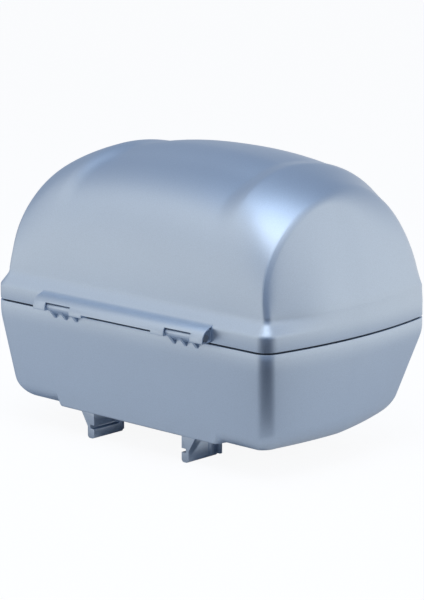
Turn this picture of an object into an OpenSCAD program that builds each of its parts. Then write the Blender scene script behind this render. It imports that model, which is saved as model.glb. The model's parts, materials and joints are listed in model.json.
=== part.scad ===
// Top case for a motorcycle carrier: two painted shells on a long front hinge,
// a two-bolt lock and carry handle at the back, and hooked feet for a carrier plate.
// Front (hinge side) is -Y, the lid's end panels face -X and +X, the feet stand on Z = 0.

/* [Case] */
// Width over the bulged ends at the seam
case_w = 500; // [470:1:530]
// Depth from front to back at the seam
case_d = 300; // [290:1:325]
// Height of the lower shell from its flat bottom to the seam
base_h = 129.5; // [124:0.5:140]
// Height of the lid's crown above the seam
lid_h = 212.5; // [205:0.5:220]
// How far each end bulges out between its corners
end_bulge = 18; // [13:1:22]
// Plan radius of the corners at the seam
corner_r = 20; // [18:1:26]
// Wall thickness of both shells
wall = 3.5; // [2.5:0.1:4.5]
// Open seam between the lid and the lower shell
seam_gap = 2; // [1.6:0.1:3]
// Thickness of the stiff edge along the lower shell's seam
edge_t = 8; // [7.5:0.1:9]

/* [Lid] */
// Height of the upright band along the lid's seam
band_h = 17; // [16.5:0.5:20]
// How far the front wall stands in from that band
band_step = 12; // [9:0.5:13]
// How far the back wall stands in from that band
back_step = 1; // [0.5:0.5:4]
// Height above the seam where the lid wall begins
wall_z = 40; // [38:1:46]
// Thickness of the lid's band
band_t = 9; // [8.6:0.1:9.4]
// Drop of the crest from the middle to the end panels
crest_drop = 42; // [36:1:50]
// How far an end panel's crown stands in from the end
panel_lean = 38; // [35:1:44]
// How far the end panel swells
panel_bulge = 2.5; // [1:0.5:6]
// Width of the rounding between vault and end panel
crease_w = 14; // [10:1:18]
// How far the crown lies behind the middle
crown_shift = 8; // [4:1:12]
// Depth of the scoop between the two end lobes
scoop = 13; // [9:1:16]
// Distance from the middle to where a lobe starts to rise
lobe_in = 112; // [104:1:118]
// Distance from the middle to a lobe's full height
lobe_out = 143; // [136:1:150]

/* [Seal] */
// Distance of the seal groove from the lid's outer face
groove_in = 3.2; // [2.8:0.1:3.4]
// Width of the seal groove
groove_w = 3; // [2.6:0.1:3.4]
// Depth of the seal groove
groove_d = 6; // [5:0.5:7]
// Room around the seal in its groove
seal_slack = 0.1; // [0.05:0.01:0.2]
// Open room between the seal and the lower shell
seal_clear = 0.3; // [0.2:0.05:0.5]

/* [Lower shell] */
// Height of the upright strip below the seam
strip_h = 10; // [9:0.5:11]
// Slope of the tapering wall, inset per height
wall_taper = 0.16; // [0.14:0.005:0.19]
// Slope of the back wall, inset per height
back_taper = 0.35; // [0.32:0.01:0.4]
// Radius that rounds the front wall into the bottom
belly_r = 22; // [18:1:28]
// Radius that rounds the end walls into the bottom
end_belly_r = 30; // [24:1:38]
// Radius that rounds the back wall into the bottom
back_belly_r = 32; // [28:1:36]
// Half width of the straight pedestal at the front
pedestal_w = 133; // [125:1:145]
// Edge radius of the pedestal
pedestal_r = 3; // [2:0.5:5]
// Half width of the handle recess at the back
recess_w = 92; // [91:1:100]
// Depth of the recess's upper ledge below the seam
recess_top = 15; // [14:0.5:16]
// Depth below the seam where the recess runs out into the back wall
recess_low = 80; // [78:0.5:84]

/* [Hinge] */
// Half length of the hinge hood
hood_w = 146; // [142:1:160]
// Radius of the hood
hood_r = 16.4; // [16:0.1:18]
// Height of the hood's centre above the seam
hood_z = 4; // [3.5:0.1:4.4]
// Underside of the hood's outer stretches above the seam
hood_low = 2; // [1.5:0.1:2.5]
// Underside of the hood's middle stretch above the seam
hood_mid = 4.5; // [4:0.1:4.6]
// Half length of that middle stretch
hood_mid_w = 60; // [50:1:70]
// How far that underside lifts towards the front
mid_lift = 2; // [1:0.1:2.5]
// Rim around the hollow ends of the hood
hood_rim = 2; // [1.6:0.1:2.4]
// Distance of the pin in front of the lid's band
pin_out = 8.5; // [8.3:0.1:9]
// Height of the pin above the seam
pin_up = 8; // [7.8:0.1:8.4]
// Radius of the hinge pin
pin_r = 2.5; // [2.2:0.1:2.8]
// Radius of a knuckle
knuckle_r = 5.6; // [5.4:0.1:5.8]
// From the end of the hood to the middle of a knuckle
knuckle_set = 42.5; // [38:0.5:48]
// Width of a knuckle
knuckle_w = 42; // [36:1:50]
// Room around a knuckle
knuckle_gap = 0.9; // [0.6:0.1:1]
// Upper edge of the hood's window over a knuckle, above the seam
window_z = 12.5; // [12:0.1:13]
// Thickness of a gusset
gusset_t = 4.5; // [3.5:0.5:6]
// How far a gusset reaches down below the seam
gusset_drop = 9.5; // [8:0.5:9.8]
// Radius of the pin's end caps
cap_r = 4.6; // [4:0.1:4.8]
// Thickness of the pin's end caps
cap_t = 2; // [1.5:0.1:2.5]

/* [Feet] */
// Height of the feet below the flat bottom
foot_h = 33; // [30:1:38]
// Half distance between the feet's inner faces
foot_x = 76.5; // [70:0.5:84]
// Thickness of a foot
foot_t = 11.5; // [11:0.5:14]
// Length of a foot
foot_l = 52; // [46:1:56]
// How far the feet's front faces stand behind the front edge of the flat bottom
foot_set = 0; // [0:0.5:10]
// Height of the carrier groove's middle
slot_z = 15; // [13:0.5:17]
// Height of the carrier groove
slot_h = 5; // [4.6:0.1:6]
// Depth of the carrier groove
slot_d = 7; // [5.5:0.5:8]
// Rounding of a foot's lower edges
foot_round = 4; // [3:0.5:5]
// Thickness of the foot's end stop
stop_t = 4; // [3:0.5:5]
// How far the end stop reaches past the rail on its inner side
stop_in = 2; // [1:0.5:4]
// How far the end stop reaches past the rail on its outer side
stop_out = 8; // [6:0.5:10]
// Radius of the upright rib on the rail's outer side
rib_r = 4; // [3:0.5:5]
// Open room between that rib and the end stop
rib_gap = 4; // [3:0.5:6]
// How far the foot's gusset reaches outward
foot_gusset = 11; // [9:0.5:14]
// Radius of the foot screws
foot_screw_r = 3; // [2.5:0.1:3.5]

/* [Lock] */
// Height of the lock below the seam
lock_drop = 45; // [44:0.5:48]
// Radius of the lock sleeve
sleeve_r = 12; // [11.5:0.1:12.5]
// Radius of the key barrel
barrel_r = 9; // [8:0.1:9.5]
// Thickness of the lock frame's back plate
frame_t = 4; // [3:0.5:5]
// Radius of the drive disc
disc_r = 15; // [14:0.5:16]
// Radius on which the drive pins sit
drive_r = 10; // [9.5:0.1:10.5]
// Radius of a drive pin
drive_pin_r = 2; // [1.6:0.1:2.2]
// Height of a latch bolt
bolt_h = 12; // [11:0.5:12.5]
// Thickness of a latch bolt
bolt_t = 7; // [6:0.5:8]
// Distance from the middle to a bolt's tip when unlocked
bolt_reach = 60; // [58:0.5:60.5]
// Distance from the middle to a catch plate
catch_x = 62; // [61.5:0.5:66]
// Thickness of a catch
catch_t = 4; // [3:0.5:4.5]

/* [Handle] */
// Thickness of the handle's base plate
plate_t = 3; // [2.5:0.1:4]
// Half width of the handle's base plate
plate_w = 87; // [86:0.5:90]
// Radius of the grip
grip_r = 11; // [9:0.5:12]
// Distance from the handle's pivot to the grip
handle_l = 54; // [50:1:58]
// Half distance between the handle's arms
arm_x = 61; // [56:0.5:62]
// Thickness of an arm
arm_t = 8; // [6:0.5:8]
// Depth of the handle's pivot below the seam
pivot_drop = 30; // [29:0.5:32]
// Radius of the handle's pivot pins
pivot_r = 3; // [2.5:0.1:3.3]

/* [Carrier lock] */
// Distance of the carrier lock's block from the rounding under the back wall
block_set = 17; // [12:1:24]
// Length of the carrier lock's block
block_l = 32; // [31:0.5:34]
// Half width of the block
block_w = 24; // [23:0.5:28]
// Radius of the plunger where it runs in the block
nose_r = 5; // [4:0.1:6]
// How far the nose stands out of the block
nose_l = 8; // [6:0.5:10]
// Radius of the spring chamber
chamber_r = 9; // [8.5:0.1:9.5]
// Radius of the plunger's rod
rod_r = 4; // [3:0.1:4.2]
// Radius of the pull knob
knob_r = 11; // [9:0.5:12]
// Wire of the plunger spring
wire_d = 1.4; // [1:0.1:1.6]
// Turns of the plunger spring
turns = 5; // [4:1:6]
// Radius of the rear buffers
buffer_r = 12; // [8:0.5:15]
// Room between the buffers and the carrier plate
buffer_gap = 1; // [0.5:0.1:2]

/* [Fits] */
// Running room around pins and shafts
run_fit = 0.05; // [0.02:0.01:0.08]
// Room around screws in their holes
screw_fit = 0.2; // [0.1:0.05:0.3]
// Room beside sliding and swinging pieces
side_fit = 0.4; // [0.3:0.05:0.6]

/* [Hidden] */
$fn = 48;

paint = [0.70, 0.75, 0.81];
foot_grey = [0.66, 0.70, 0.76];
black = [0.10, 0.10, 0.11];
steel = [0.62, 0.63, 0.65];
rubber = [0.06, 0.06, 0.07];
bite = 0.01;

half_w = case_w / 2;
half_d = case_d / 2;
seam_z = foot_h + base_h;
end_r = (half_d * half_d + end_bulge * end_bulge) / (2 * end_bulge);
end_x = half_w - end_r;
least_r = 3;

function mix(a, b, t) = a + (b - a) * t;
function ease(a, b, v) = let (t = min(max((v - a) / (b - a), 0), 1)) t * t * (3 - 2 * t);
function unit(v) = v / norm(v);

// One point of a quarter of the plan outline, inset by t, with the corner radius kept larger by extra.
// kind 0 is the end arc and 1 the corner arc, by a share f of their turn; 2 is the straight side at x = f
function quarter_pt(kind, f, t, extra = 0) =
    let (
        r = max(corner_r - t + extra, least_r),
        e = end_r - t,
        vy = half_d - t - r,
        vx = end_x + sqrt(pow(e - r, 2) - vy * vy),
        a = atan2(vy, vx - end_x),
        b = a + f * (90 - a)
    )
    kind == 0 ? [end_x + e * cos(f * a), e * sin(f * a)]
    : kind == 1 ? [vx + r * cos(b), vy + r * sin(b)]
    : [f, half_d - t];

// Triangles between two closed rings of points, given by their indices
function band_faces(upper, lower) =
    let (n = len(upper))
    [for (k = [0 : n - 1], half = [0, 1])
        let (l = (k + 1) % n)
        half == 0 ? [upper[k], upper[l], lower[l]] : [upper[k], lower[l], lower[k]]];

// Lower shell: rings of the plan outline, inset more at each depth below the seam

end_steps = 6;
corner_steps = 5;
recess_side = 2;
pedestal_side = 5;
// Straight-side stations: place along X, and which way the inner skin moves it
back_stations = [[recess_w + 50, 0], [recess_w + recess_side, 1], [recess_w, 1], [recess_w / 2, 0], [0, 0]];
front_stations = [
    [pedestal_w + 40, 0], [pedestal_w + pedestal_side, -1], [pedestal_w, -1], [pedestal_w / 2, 0], [0, 0]
];
function quarter_list(stations) = concat(
    [for (i = [0 : end_steps]) [0, i / end_steps, 0]],
    [for (i = [1 : corner_steps]) [1, i / corner_steps, 0]],
    [for (s = stations) [2, s[0], s[1]]]
);
back_quarter = quarter_list(back_stations);
front_quarter = quarter_list(front_stations);
function signed(p, sx, sy) = [p[0], p[1], p[2], sx, sy];
base_loop = concat(
    [for (i = [0 : len(back_quarter) - 1]) signed(back_quarter[i], 1, 1)],
    [for (i = [len(back_quarter) - 2 : -1 : 1]) signed(back_quarter[i], -1, 1)],
    [for (i = [0 : len(front_quarter) - 1]) signed(front_quarter[i], -1, -1)],
    [for (i = [len(front_quarter) - 2 : -1 : 1]) signed(front_quarter[i], 1, -1)]
);
function in_recess(p) = p[0] == 2 && p[4] > 0 && p[1] <= recess_w;
function in_pedestal(p) = p[0] == 2 && p[4] < 0 && p[1] <= pedestal_w;
// A size that differs at the front, the ends and the back, and changes round the corners
corner_share = 0.7;
function by_side(p, front, side, back) =
    let (corner = p[4] < 0 ? side : mix(side, back, corner_share), far = p[4] < 0 ? front : back)
    p[0] == 2 ? far : p[0] == 1 ? mix(corner, far, p[1]) : mix(side, corner, p[1]);
// Height over which the upright strip bends into the tapering wall, and the taper below it
strip_soft = 16;
function taper_run(d) =
    let (u = max(d - strip_h, 0))
    u < strip_soft ? u * u / (2 * strip_soft) : u - strip_soft / 2;
function taper_in(p, d) = by_side(p, wall_taper, wall_taper, back_taper) * taper_run(d);
recess_d = back_taper * taper_run(recess_low);
// Inset and depth at a level; levels past the straight wall turn through the bottom's rounding
ledge_soft = 0.5;
bend_z = strip_h + strip_soft;
wall_levels = [bend_z, mix(bend_z, recess_low, 0.5), recess_low];
straight_levels = concat([strip_h, recess_top - ledge_soft, recess_top + ledge_soft], wall_levels);
turn_levels = [0, 18, 36, 54, 72, 90];
turn_least = 1.2;
function base_turn_r(p) = in_pedestal(p) ? pedestal_r : by_side(p, belly_r, end_belly_r, back_belly_r);
function base_outer(p, d) =
    in_recess(p) && d > recess_top ? max(taper_in(p, d), recess_d) : taper_in(p, d);
function base_turn(p, a, t) =
    let (r = max(base_turn_r(p) - t, turn_least), d = base_h - t - r + r * sin(a))
    [base_outer(p, d) + t + r * (1 - cos(a)), d];
// Share of the taper that a corner's radius doesn't lose
corner_keep = 0.9;
function base_pt(p, inset, d, t) =
    let (q = quarter_pt(p[0], p[0] == 2 ? p[1] + p[2] * t : p[1], inset, corner_keep * max(inset - t, 0)))
    [p[3] * q[0], p[4] * q[1], seam_z - d];
edge_soft = 0.8;
outer_rings = concat(
    [[for (p = base_loop) base_pt(p, edge_soft, seam_gap / 2, 0)]],
    [[for (p = base_loop) base_pt(p, 0, seam_gap / 2 + edge_soft, 0)]],
    [for (d = straight_levels) [for (p = base_loop) base_pt(p, base_outer(p, d), d, 0)]],
    [for (a = turn_levels) [for (p = base_loop) let (l = base_turn(p, a, 0)) base_pt(p, l[0], l[1], 0)]]
);
edge_bevel = 2;
edge_z = recess_top - wall - edge_bevel;
function base_inner(p, d) =
    let (thick = in_recess(p) && d > edge_z ? recess_d + wall : 0)
    max(d <= edge_z ? edge_t : 0, thick, base_outer(p, d) + wall);
inner_levels = concat([seam_gap / 2, edge_z, edge_z + edge_bevel], wall_levels);
inner_rings = concat(
    [for (d = inner_levels) [for (p = base_loop) base_pt(p, base_inner(p, d), d, wall)]],
    [for (a = turn_levels) [for (p = base_loop) let (l = base_turn(p, a, wall)) base_pt(p, l[0], l[1], wall)]]
);
base_rings = concat([for (i = [len(inner_rings) - 1 : -1 : 0]) inner_rings[i]], outer_rings);

// Triangles that close a ring whose points k and n - k face each other across the case
function floor_faces(ids) =
    let (n = len(ids), m = n / 2)
    concat(
        [[ids[0], ids[1], ids[n - 1]], [ids[m - 1], ids[m], ids[m + 1]]],
        [for (k = [1 : m - 2], half = [0, 1])
            half == 0 ? [ids[k], ids[k + 1], ids[n - k - 1]] : [ids[k], ids[n - k - 1], ids[n - k]]]
    );

module base_solid() {
    n = len(base_loop);
    rows = len(base_rings);
    ids = [for (s = [0 : rows - 1]) [for (k = [0 : n - 1]) s * n + k]];
    polyhedron(
        points = [for (ring = base_rings) each ring],
        faces = concat(
            [for (s = [0 : rows - 2]) each band_faces(ids[s], ids[s + 1])],
            floor_faces([for (k = [0 : n - 1]) ids[0][(n - k) % n]]),
            floor_faces(ids[rows - 1])
        )
    );
}

// Lid: arches across the case at stations along X, closed by the end panels, with a band below

panel_x = half_w - panel_lean;
vault_end = panel_x - crease_w;
corner_x = quarter_pt(1, 1, band_step)[0];
// Share of the half depth at which the flare has run out along the ends
flare_run = 0.6;
// How far the wall stands in above an outline point at the front (-1) or the back (1)
function step_at(foot, sy) =
    mix(band_step, back_step, ease(-half_d, -half_d * flare_run, sy * quarter_pt(foot[0], foot[1], 0)[1]));
function foot_pt(foot, sy, t) = quarter_pt(foot[0], foot[1], step_at(foot, sy) + t);
foot_ratio = corner_x / vault_end;
lobe_power = [0.49, 0.37];
panel_power = [0.85, 0.95];
panel_center_z = 20;
crest_power = 2.35;
// Angles up the arch where the scoop starts, is full and fades, what is left of it at the crown,
// and the angle where it has run out behind the crown
scoop_from = 26;
scoop_full = 56;
scoop_fade = 62;
scoop_crown = 0.55;
scoop_back = 30;
// Stations by their place on the crest, then the shares of the corner arc where the rest stand
crest_stations = concat(
    [for (i = [0 : 3]) i * lobe_in * 0.3],
    [for (i = [0 : 4]) mix(lobe_in, lobe_out, i / 4)],
    [for (i = [1 : 3]) mix(lobe_out, vault_end, i / 4)]
);
crease_shares = [1, 0.94, 0.87, 0.8, 0.73];
panel_shares = [0.66, 0.58, 0.5];
panel_mix = [0.12, 0.4, 0.7, 1];
stations = concat(
    [for (x = crest_stations) [2, x * foot_ratio]],
    [for (f = crease_shares) [1, f]],
    [for (f = panel_shares) [1, f]]
);
last = len(stations) - 1;
crease_at = len(crest_stations);
panel_at = crease_at + len(crease_shares) - 1;
columns = 24;
function column_foot(j) =
    let (c = min(j, columns - j))
    c == 0 ? [1, 0.5] : c == 1 ? [1, 0.2] : [0, cos(180 * c / columns) / cos(180 / columns)];
// The crease is tight at the foot and soft higher up, by these reaches into the vault and the panel
vault_soft = 12;
panel_soft = 0.28;
lobe_to = lobe_out + 5;
function soft_at(j) = ease(0.03, 0.25, min(j, columns - j) / columns);
function vault_x(x, j) = x - vault_soft * soft_at(j) * max(x - lobe_to, 0) / (vault_end - lobe_to);
function panel_w(w, j) =
    let (w0 = panel_mix[0])
    mix(w0 + panel_soft * soft_at(j), 1, (w - w0) / (1 - w0));
function crest_h(x) = lid_h - crest_drop * pow(x / panel_x, crest_power);
// One point of the arch that stands on foot and crests at x, thinned by t
function arch_pt(foot, x, j, t) =
    let (
        back = 2 * j > columns ? 1 : 0,
        q = foot_pt(foot, back == 0 ? -1 : 1, t),
        k = ease(lobe_out, panel_x, x),
        power = mix(lobe_power[back], panel_power[back], k),
        cz = panel_center_z * k,
        h = crest_h(x) - t - cz,
        a0 = asin(pow((wall_z - cz) / h, 1 / power)),
        a = back == 0 ? mix(a0, 90, 2 * j / columns) : mix(180 - a0, 90, 2 - 2 * j / columns),
        side = back == 0 ? q[1] + crown_shift : q[1] - crown_shift,
        y = crown_shift - side * cos(a) / cos(a0),
        z = cz + h * pow(sin(a), power),
        rise = pow(max((sin(a) - sin(a0)) / (1 - sin(a0)), 0), 1.5),
        low = min(a, 180 - a),
        front_part = ease(scoop_from, scoop_full, low) * mix(1, scoop_crown, ease(scoop_fade, 90, low)),
        across = back == 0 ? front_part : scoop_crown * ease(scoop_back, 90, low),
        dip = scoop * (1 - ease(lobe_in, lobe_out, x)) * across,
        n = unit([y - crown_shift, z - wall_z])
    )
    [mix(q[0], x, rise), y - dip * n[0], z - dip * n[1]];
function end_pt(j, t) =
    let (sy = 2 * j < columns ? -1 : 1, q = foot_pt(column_foot(j), sy, t))
    [q[0], sy * q[1], wall_z];
function crease_pt(j, t) = arch_pt([1, 0.87], panel_x, j, t);
function panel_pt(j, w, t) =
    mix(crease_pt(j, t), end_pt(j, t), w) + [panel_bulge * 4 * w * (1 - w) * sin(180 * j / columns), 0, 0];
function crease_round(j, s, t) =
    let (
        a = arch_pt([1, 1], vault_x(vault_end, j), j, t),
        b = crease_pt(j, t),
        c = panel_pt(j, panel_w(panel_mix[0], j), t)
    )
    mix(mix(a, b, s), mix(b, c, s), s);
function half_lid_pt(m, j, t) =
    let (sy = j == 0 ? -1 : 1, foot = foot_pt(stations[m], sy, t))
    m == last ? end_pt(j, t)
    : j == 0 || j == columns ? [foot[0], sy * foot[1], wall_z]
    : m < crease_at ? arch_pt(stations[m], vault_x(crest_stations[m], j), j, t)
    : m <= panel_at ? crease_round(j, (m - crease_at) / (panel_at - crease_at), t)
    : panel_pt(j, panel_w(panel_mix[m - panel_at], j), t);
rows_x = 2 * last;
function lid_pt(i, j, t) =
    let (p = half_lid_pt(abs(i - last), j, t))
    [i < last ? -p[0] : p[0], p[1], seam_z + p[2]];
lid_edge = concat(
    [for (i = [0 : rows_x - 1]) [i, 0]],
    [for (j = [0 : columns - 1]) [rows_x, j]],
    [for (i = [rows_x : -1 : 1]) [i, columns]],
    [for (j = [columns : -1 : 1]) [0, j]]
);
// One point under the lid wall: inset by a share of the wall's step and by a size of its own
function lid_edge_pt(e, share, inset, z) =
    let (
        m = abs(e[0] - last),
        c = m == last ? column_foot(e[1]) : stations[m],
        sy = 2 * e[1] < columns ? -1 : 1,
        q = quarter_pt(c[0], c[1], share * step_at(c, sy) + inset)
    )
    [e[0] < last ? -q[0] : q[0], sy * q[1], seam_z + z];
lid_under = seam_gap / 2;
groove_out = groove_in + groove_w;
// Down the flare: share of its height, and share of the step that is left there
flare_curve = [
    [0.16, 0.975], [0.32, 0.841], [0.5, 0.58], [0.68, 0.305], [0.84, 0.072], [0.93, 0.008], [1, 0]
];
band_over = 6;
// Section of the lid's edge as share of the step, inset and height:
// flare, band, seal groove and inner face
lid_section = concat(
    [for (u = flare_curve) [u[1], 0, mix(wall_z, band_h, u[0])]],
    [
        [0, 0, lid_under + edge_soft], [0, edge_soft, lid_under],
        [0, groove_in, lid_under], [0, groove_in, lid_under + groove_d],
        [0, groove_out, lid_under + groove_d], [0, groove_out, lid_under],
        [0, band_t - edge_soft, lid_under], [0, band_t, lid_under + edge_soft],
        [0, band_t, band_h + band_over]
    ]
);

module lid_solid() {
    patch = (rows_x + 1) * (columns + 1);
    n = len(lid_edge);
    rings = len(lid_section);
    outer_ids = [for (e = lid_edge) e[0] * (columns + 1) + e[1]];
    inner_ids = [for (e = lid_edge) patch + e[0] * (columns + 1) + e[1]];
    ring_ids = concat(
        [outer_ids],
        [for (s = [0 : rings - 1]) [for (k = [0 : n - 1]) 2 * patch + s * n + k]],
        [inner_ids]
    );
    function cell(i, j, first) =
        let (a = first + i * (columns + 1) + j)
        [a, a + 1, a + columns + 2, a + columns + 1];
    polyhedron(
        points = concat(
            [for (t = [0, wall], i = [0 : rows_x], j = [0 : columns]) lid_pt(i, j, t)],
            [for (s = lid_section, e = lid_edge) lid_edge_pt(e, s[0], s[1], s[2])]
        ),
        faces = concat(
            [for (i = [0 : rows_x - 1], j = [0 : columns - 1], half = [0, 1])
                let (c = cell(i, j, 0)) half == 0 ? [c[0], c[1], c[2]] : [c[0], c[2], c[3]]],
            [for (i = [0 : rows_x - 1], j = [0 : columns - 1], half = [0, 1])
                let (c = cell(i, j, patch)) half == 0 ? [c[2], c[1], c[0]] : [c[3], c[2], c[0]]],
            [for (s = [0 : rings]) each band_faces(ring_ids[s], ring_ids[s + 1])]
        )
    );
}

module lid_shell() {
    color(paint) lid_solid();
}

// Closed ring of a square section in the lid's groove
module lid_seal() {
    n = len(lid_edge);
    section = [
        [groove_in + seal_slack, lid_under + groove_d - seal_slack],
        [groove_in + seal_slack, -lid_under + seal_clear],
        [groove_out - seal_slack, -lid_under + seal_clear],
        [groove_out - seal_slack, lid_under + groove_d - seal_slack]
    ];
    ids = [for (s = [0 : 4]) [for (k = [0 : n - 1]) (s % 4) * n + k]];
    color(rubber) polyhedron(
        points = [for (s = section, e = lid_edge) lid_edge_pt(e, 0, s[0], s[1])],
        faces = [for (s = [0 : 3]) each band_faces(ids[s], ids[s + 1])]
    );
}

// Places of the screws through the lower shell

floor_z = foot_h + wall;
foot_screw_x = foot_x + foot_t / 2;
foot_y = half_d - wall_taper * taper_run(base_h) - pedestal_r - foot_set;
foot_screw_ys = [-foot_y + foot_l * 0.3, -foot_y + foot_l * 0.72];
washer_t = 1.5;
slot_stop = 2;
head_ratio = 1.9;
head_high = 1.2;
socket_ratio = 0.9;
block_screw_x = block_w - 7;
block_back = half_d - back_taper * taper_run(base_h) - back_belly_r - block_set;
block_y = block_back - block_l;
block_screw_y = block_y + block_l / 2;
frame_screw_r = 2;
frame_screw_x = plate_w - 7;
frame_screw_in = 9;
frame_screw_zs = [seam_z - recess_top - frame_screw_in, seam_z - recess_low + frame_screw_in];
lock_z = seam_z - lock_drop;
recess_in = half_d - recess_d - wall;
recess_out = half_d - recess_d;

module bar_y(r, y0, y1) {
    translate([0, y0, 0]) rotate([-90, 0, 0]) cylinder(r = r, h = y1 - y0);
}

module bar_x(r, x0, x1) {
    translate([x0, 0, 0]) rotate([0, 90, 0]) cylinder(r = r, h = x1 - x0);
}

// A plate along X whose outline is given as Y and Z
module plate_x(x0, x1) {
    translate([x0, 0, 0]) rotate([90, 0, 90]) linear_extrude(height = x1 - x0) children();
}

module at_foot_screws() {
    for (sx = [-1, 1], y = foot_screw_ys) translate([sx * foot_screw_x, y, 0]) children();
}

module at_block_screws() {
    for (sx = [-1, 1]) translate([sx * block_screw_x, block_screw_y, 0]) children();
}

module at_frame_screws() {
    for (sx = [-1, 1], z = frame_screw_zs) translate([sx * frame_screw_x, 0, z]) children();
}

module base_shell() {
    color(paint) difference() {
        base_solid();
        at_foot_screws() translate([0, 0, foot_h - 1])
            cylinder(r = foot_screw_r + screw_fit, h = wall + 2);
        at_block_screws() translate([0, 0, foot_h - 1])
            cylinder(r = foot_screw_r + screw_fit, h = wall + 2);
        at_frame_screws() bar_y(frame_screw_r + screw_fit, recess_in - 1, recess_out + 1);
        translate([0, 0, lock_z]) bar_y(sleeve_r + screw_fit, recess_in - 1, recess_out + 1);
    }
}

// Hinge

pin_y = -half_d - pin_out;
pin_z = seam_z + pin_up;
knuckle_x = hood_w - knuckle_set;
notch_in = knuckle_x - knuckle_w / 2 - knuckle_gap;
notch_out = knuckle_x + knuckle_w / 2 + knuckle_gap;
notch_r = knuckle_r + knuckle_gap;
pocket_d = cap_t + 1;
pin_end = hood_w - pocket_d;

// Section of the hood above its underside, drawn in by rim
module hood_outline(low, rim) {
    intersection() {
        translate([-half_d, seam_z + hood_z]) circle(r = hood_r - rim, $fn = 96);
        translate([-half_d - hood_r - 1, seam_z + low + rim]) square([hood_r + 1 - rim, hood_r * 2]);
    }
}

module hood_stretch(x0, x1, low) {
    plate_x(x0, x1) hood_outline(low, 0);
}

// Wedge off the middle stretch's lower front edge, so that the seam shows below it
module mid_wedge() {
    front = -half_d - hood_r - 1;
    inner = pin_y - pin_r - 0.8;
    low = seam_z + hood_mid;
    plate_x(-hood_mid_w, hood_mid_w)
        polygon([[front, low - 1], [inner, low - 1], [inner, low], [front, low + mid_lift]]);
}

module hinge_hood() {
    color(paint) difference() {
        union() {
            hood_stretch(-hood_mid_w, hood_mid_w, hood_mid);
            for (sx = [0, 1]) mirror([sx, 0, 0]) hood_stretch(hood_mid_w, hood_w, hood_low);
        }
        mid_wedge();
        translate([0, pin_y, pin_z]) bar_x(pin_r + run_fit, -hood_w - 1, hood_w + 1);
        for (sx = [0, 1]) mirror([sx, 0, 0]) {
            plate_x(pin_end, hood_w + 1) hood_outline(hood_low, hood_rim);
            translate([0, pin_y, pin_z]) bar_x(cap_r + side_fit, pin_end, hood_w + 1);
            translate([0, pin_y, pin_z]) bar_x(notch_r, notch_in, notch_out);
            translate([notch_in, -half_d - hood_r - 1, seam_z])
                cube([notch_out - notch_in, hood_r + 2, pin_up]);
            translate([notch_in, -half_d - hood_r - 1, seam_z])
                cube([notch_out - notch_in, hood_r + 1 - pin_out, window_z]);
        }
    }
}

// Outline of a web between a knuckle and the lower shell, reaching drop below the seam
module web_outline(drop) {
    front = 65;
    back = 40;
    polygon([
        [pin_y, pin_z],
        [pin_y - knuckle_r * cos(front), pin_z - knuckle_r * sin(front)],
        [-half_d, seam_z - drop],
        [-half_d, seam_z - seam_gap / 2 - edge_soft],
        [pin_y + knuckle_r * cos(back), pin_z - knuckle_r * sin(back)]
    ]);
}

module knuckle() {
    web_drop = 4;
    x0 = knuckle_x - knuckle_w / 2;
    x1 = knuckle_x + knuckle_w / 2;
    color(paint) difference() {
        union() {
            translate([0, pin_y, pin_z]) bar_x(knuckle_r, x0, x1);
            plate_x(x0, x1) web_outline(web_drop);
            for (x = [x0, knuckle_x - gusset_t / 2, x1 - gusset_t])
                plate_x(x, x + gusset_t) web_outline(gusset_drop);
        }
        translate([0, pin_y, pin_z]) bar_x(pin_r + run_fit / 2, x0 - 1, x1 + 1);
    }
}

module right_hinge_knuckle() {
    knuckle();
}

module left_hinge_knuckle() {
    mirror([1, 0, 0]) knuckle();
}

module hinge_pin() {
    color(steel) translate([0, pin_y, pin_z]) bar_x(pin_r, -pin_end - cap_t / 2, pin_end + cap_t / 2);
}

module hinge_pin_caps() {
    color(steel) for (sx = [0, 1]) mirror([sx, 0, 0]) translate([0, pin_y, pin_z]) difference() {
        bar_x(cap_r, pin_end + run_fit, pin_end + cap_t);
        bar_x(pin_r, pin_end - 1, pin_end + cap_t / 2);
    }
}

// Feet

module foot() {
    lip = slot_z - slot_h / 2;
    back = -foot_y + foot_l;
    outer = foot_x + foot_t;
    gusset_l = 5;
    color(foot_grey) difference() {
        union() {
            // rail with rounded lower edges
            translate([0, back, 0]) rotate([90, 0, 0]) linear_extrude(height = foot_l) union() {
                translate([foot_x, foot_round]) square([foot_t, foot_h - foot_round]);
                translate([foot_x + foot_round, 0]) square([foot_t - 2 * foot_round, foot_round + bite]);
                for (x = [foot_x + foot_round, outer - foot_round])
                    translate([x, foot_round]) circle(r = foot_round);
            }
            // gusset at the front
            translate([0, -foot_y + gusset_l, 0]) rotate([90, 0, 0]) linear_extrude(height = gusset_l)
                polygon([[outer - bite, slot_z], [outer + foot_gusset, foot_h], [outer - bite, foot_h]]);
            // upright rib on the outer side
            translate([outer, back - stop_t - rib_gap - rib_r, foot_round])
                cylinder(r = rib_r, h = foot_h - foot_round);
            // end stop
            translate([foot_x - stop_in, back - stop_t, foot_round])
                cube([stop_in + foot_t + stop_out, stop_t, foot_h - foot_round]);
        }
        translate([foot_x - stop_in - 1, -foot_y - 1, lip])
            cube([slot_d + stop_in + 1, foot_l - stop_t - slot_stop + 1, slot_h]);
        for (y = foot_screw_ys) translate([foot_screw_x, y, slot_z + slot_h / 2 + 2])
            cylinder(r = foot_screw_r + run_fit, h = foot_h);
    }
}

module right_foot() {
    foot();
}

module left_foot() {
    mirror([1, 0, 0]) foot();
}

module screw_up(tip, seat, r) {
    head_h = r * head_high;
    translate([0, 0, tip]) cylinder(r = r, h = seat - tip);
    translate([0, 0, seat]) difference() {
        cylinder(r = r * head_ratio, h = head_h);
        translate([0, 0, head_h / 2]) cylinder(r = r * socket_ratio, h = head_h, $fn = 6);
    }
}

module foot_screws() {
    color(steel) at_foot_screws() screw_up(slot_z + slot_h / 2 + 3, floor_z + washer_t, foot_screw_r);
}

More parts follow.
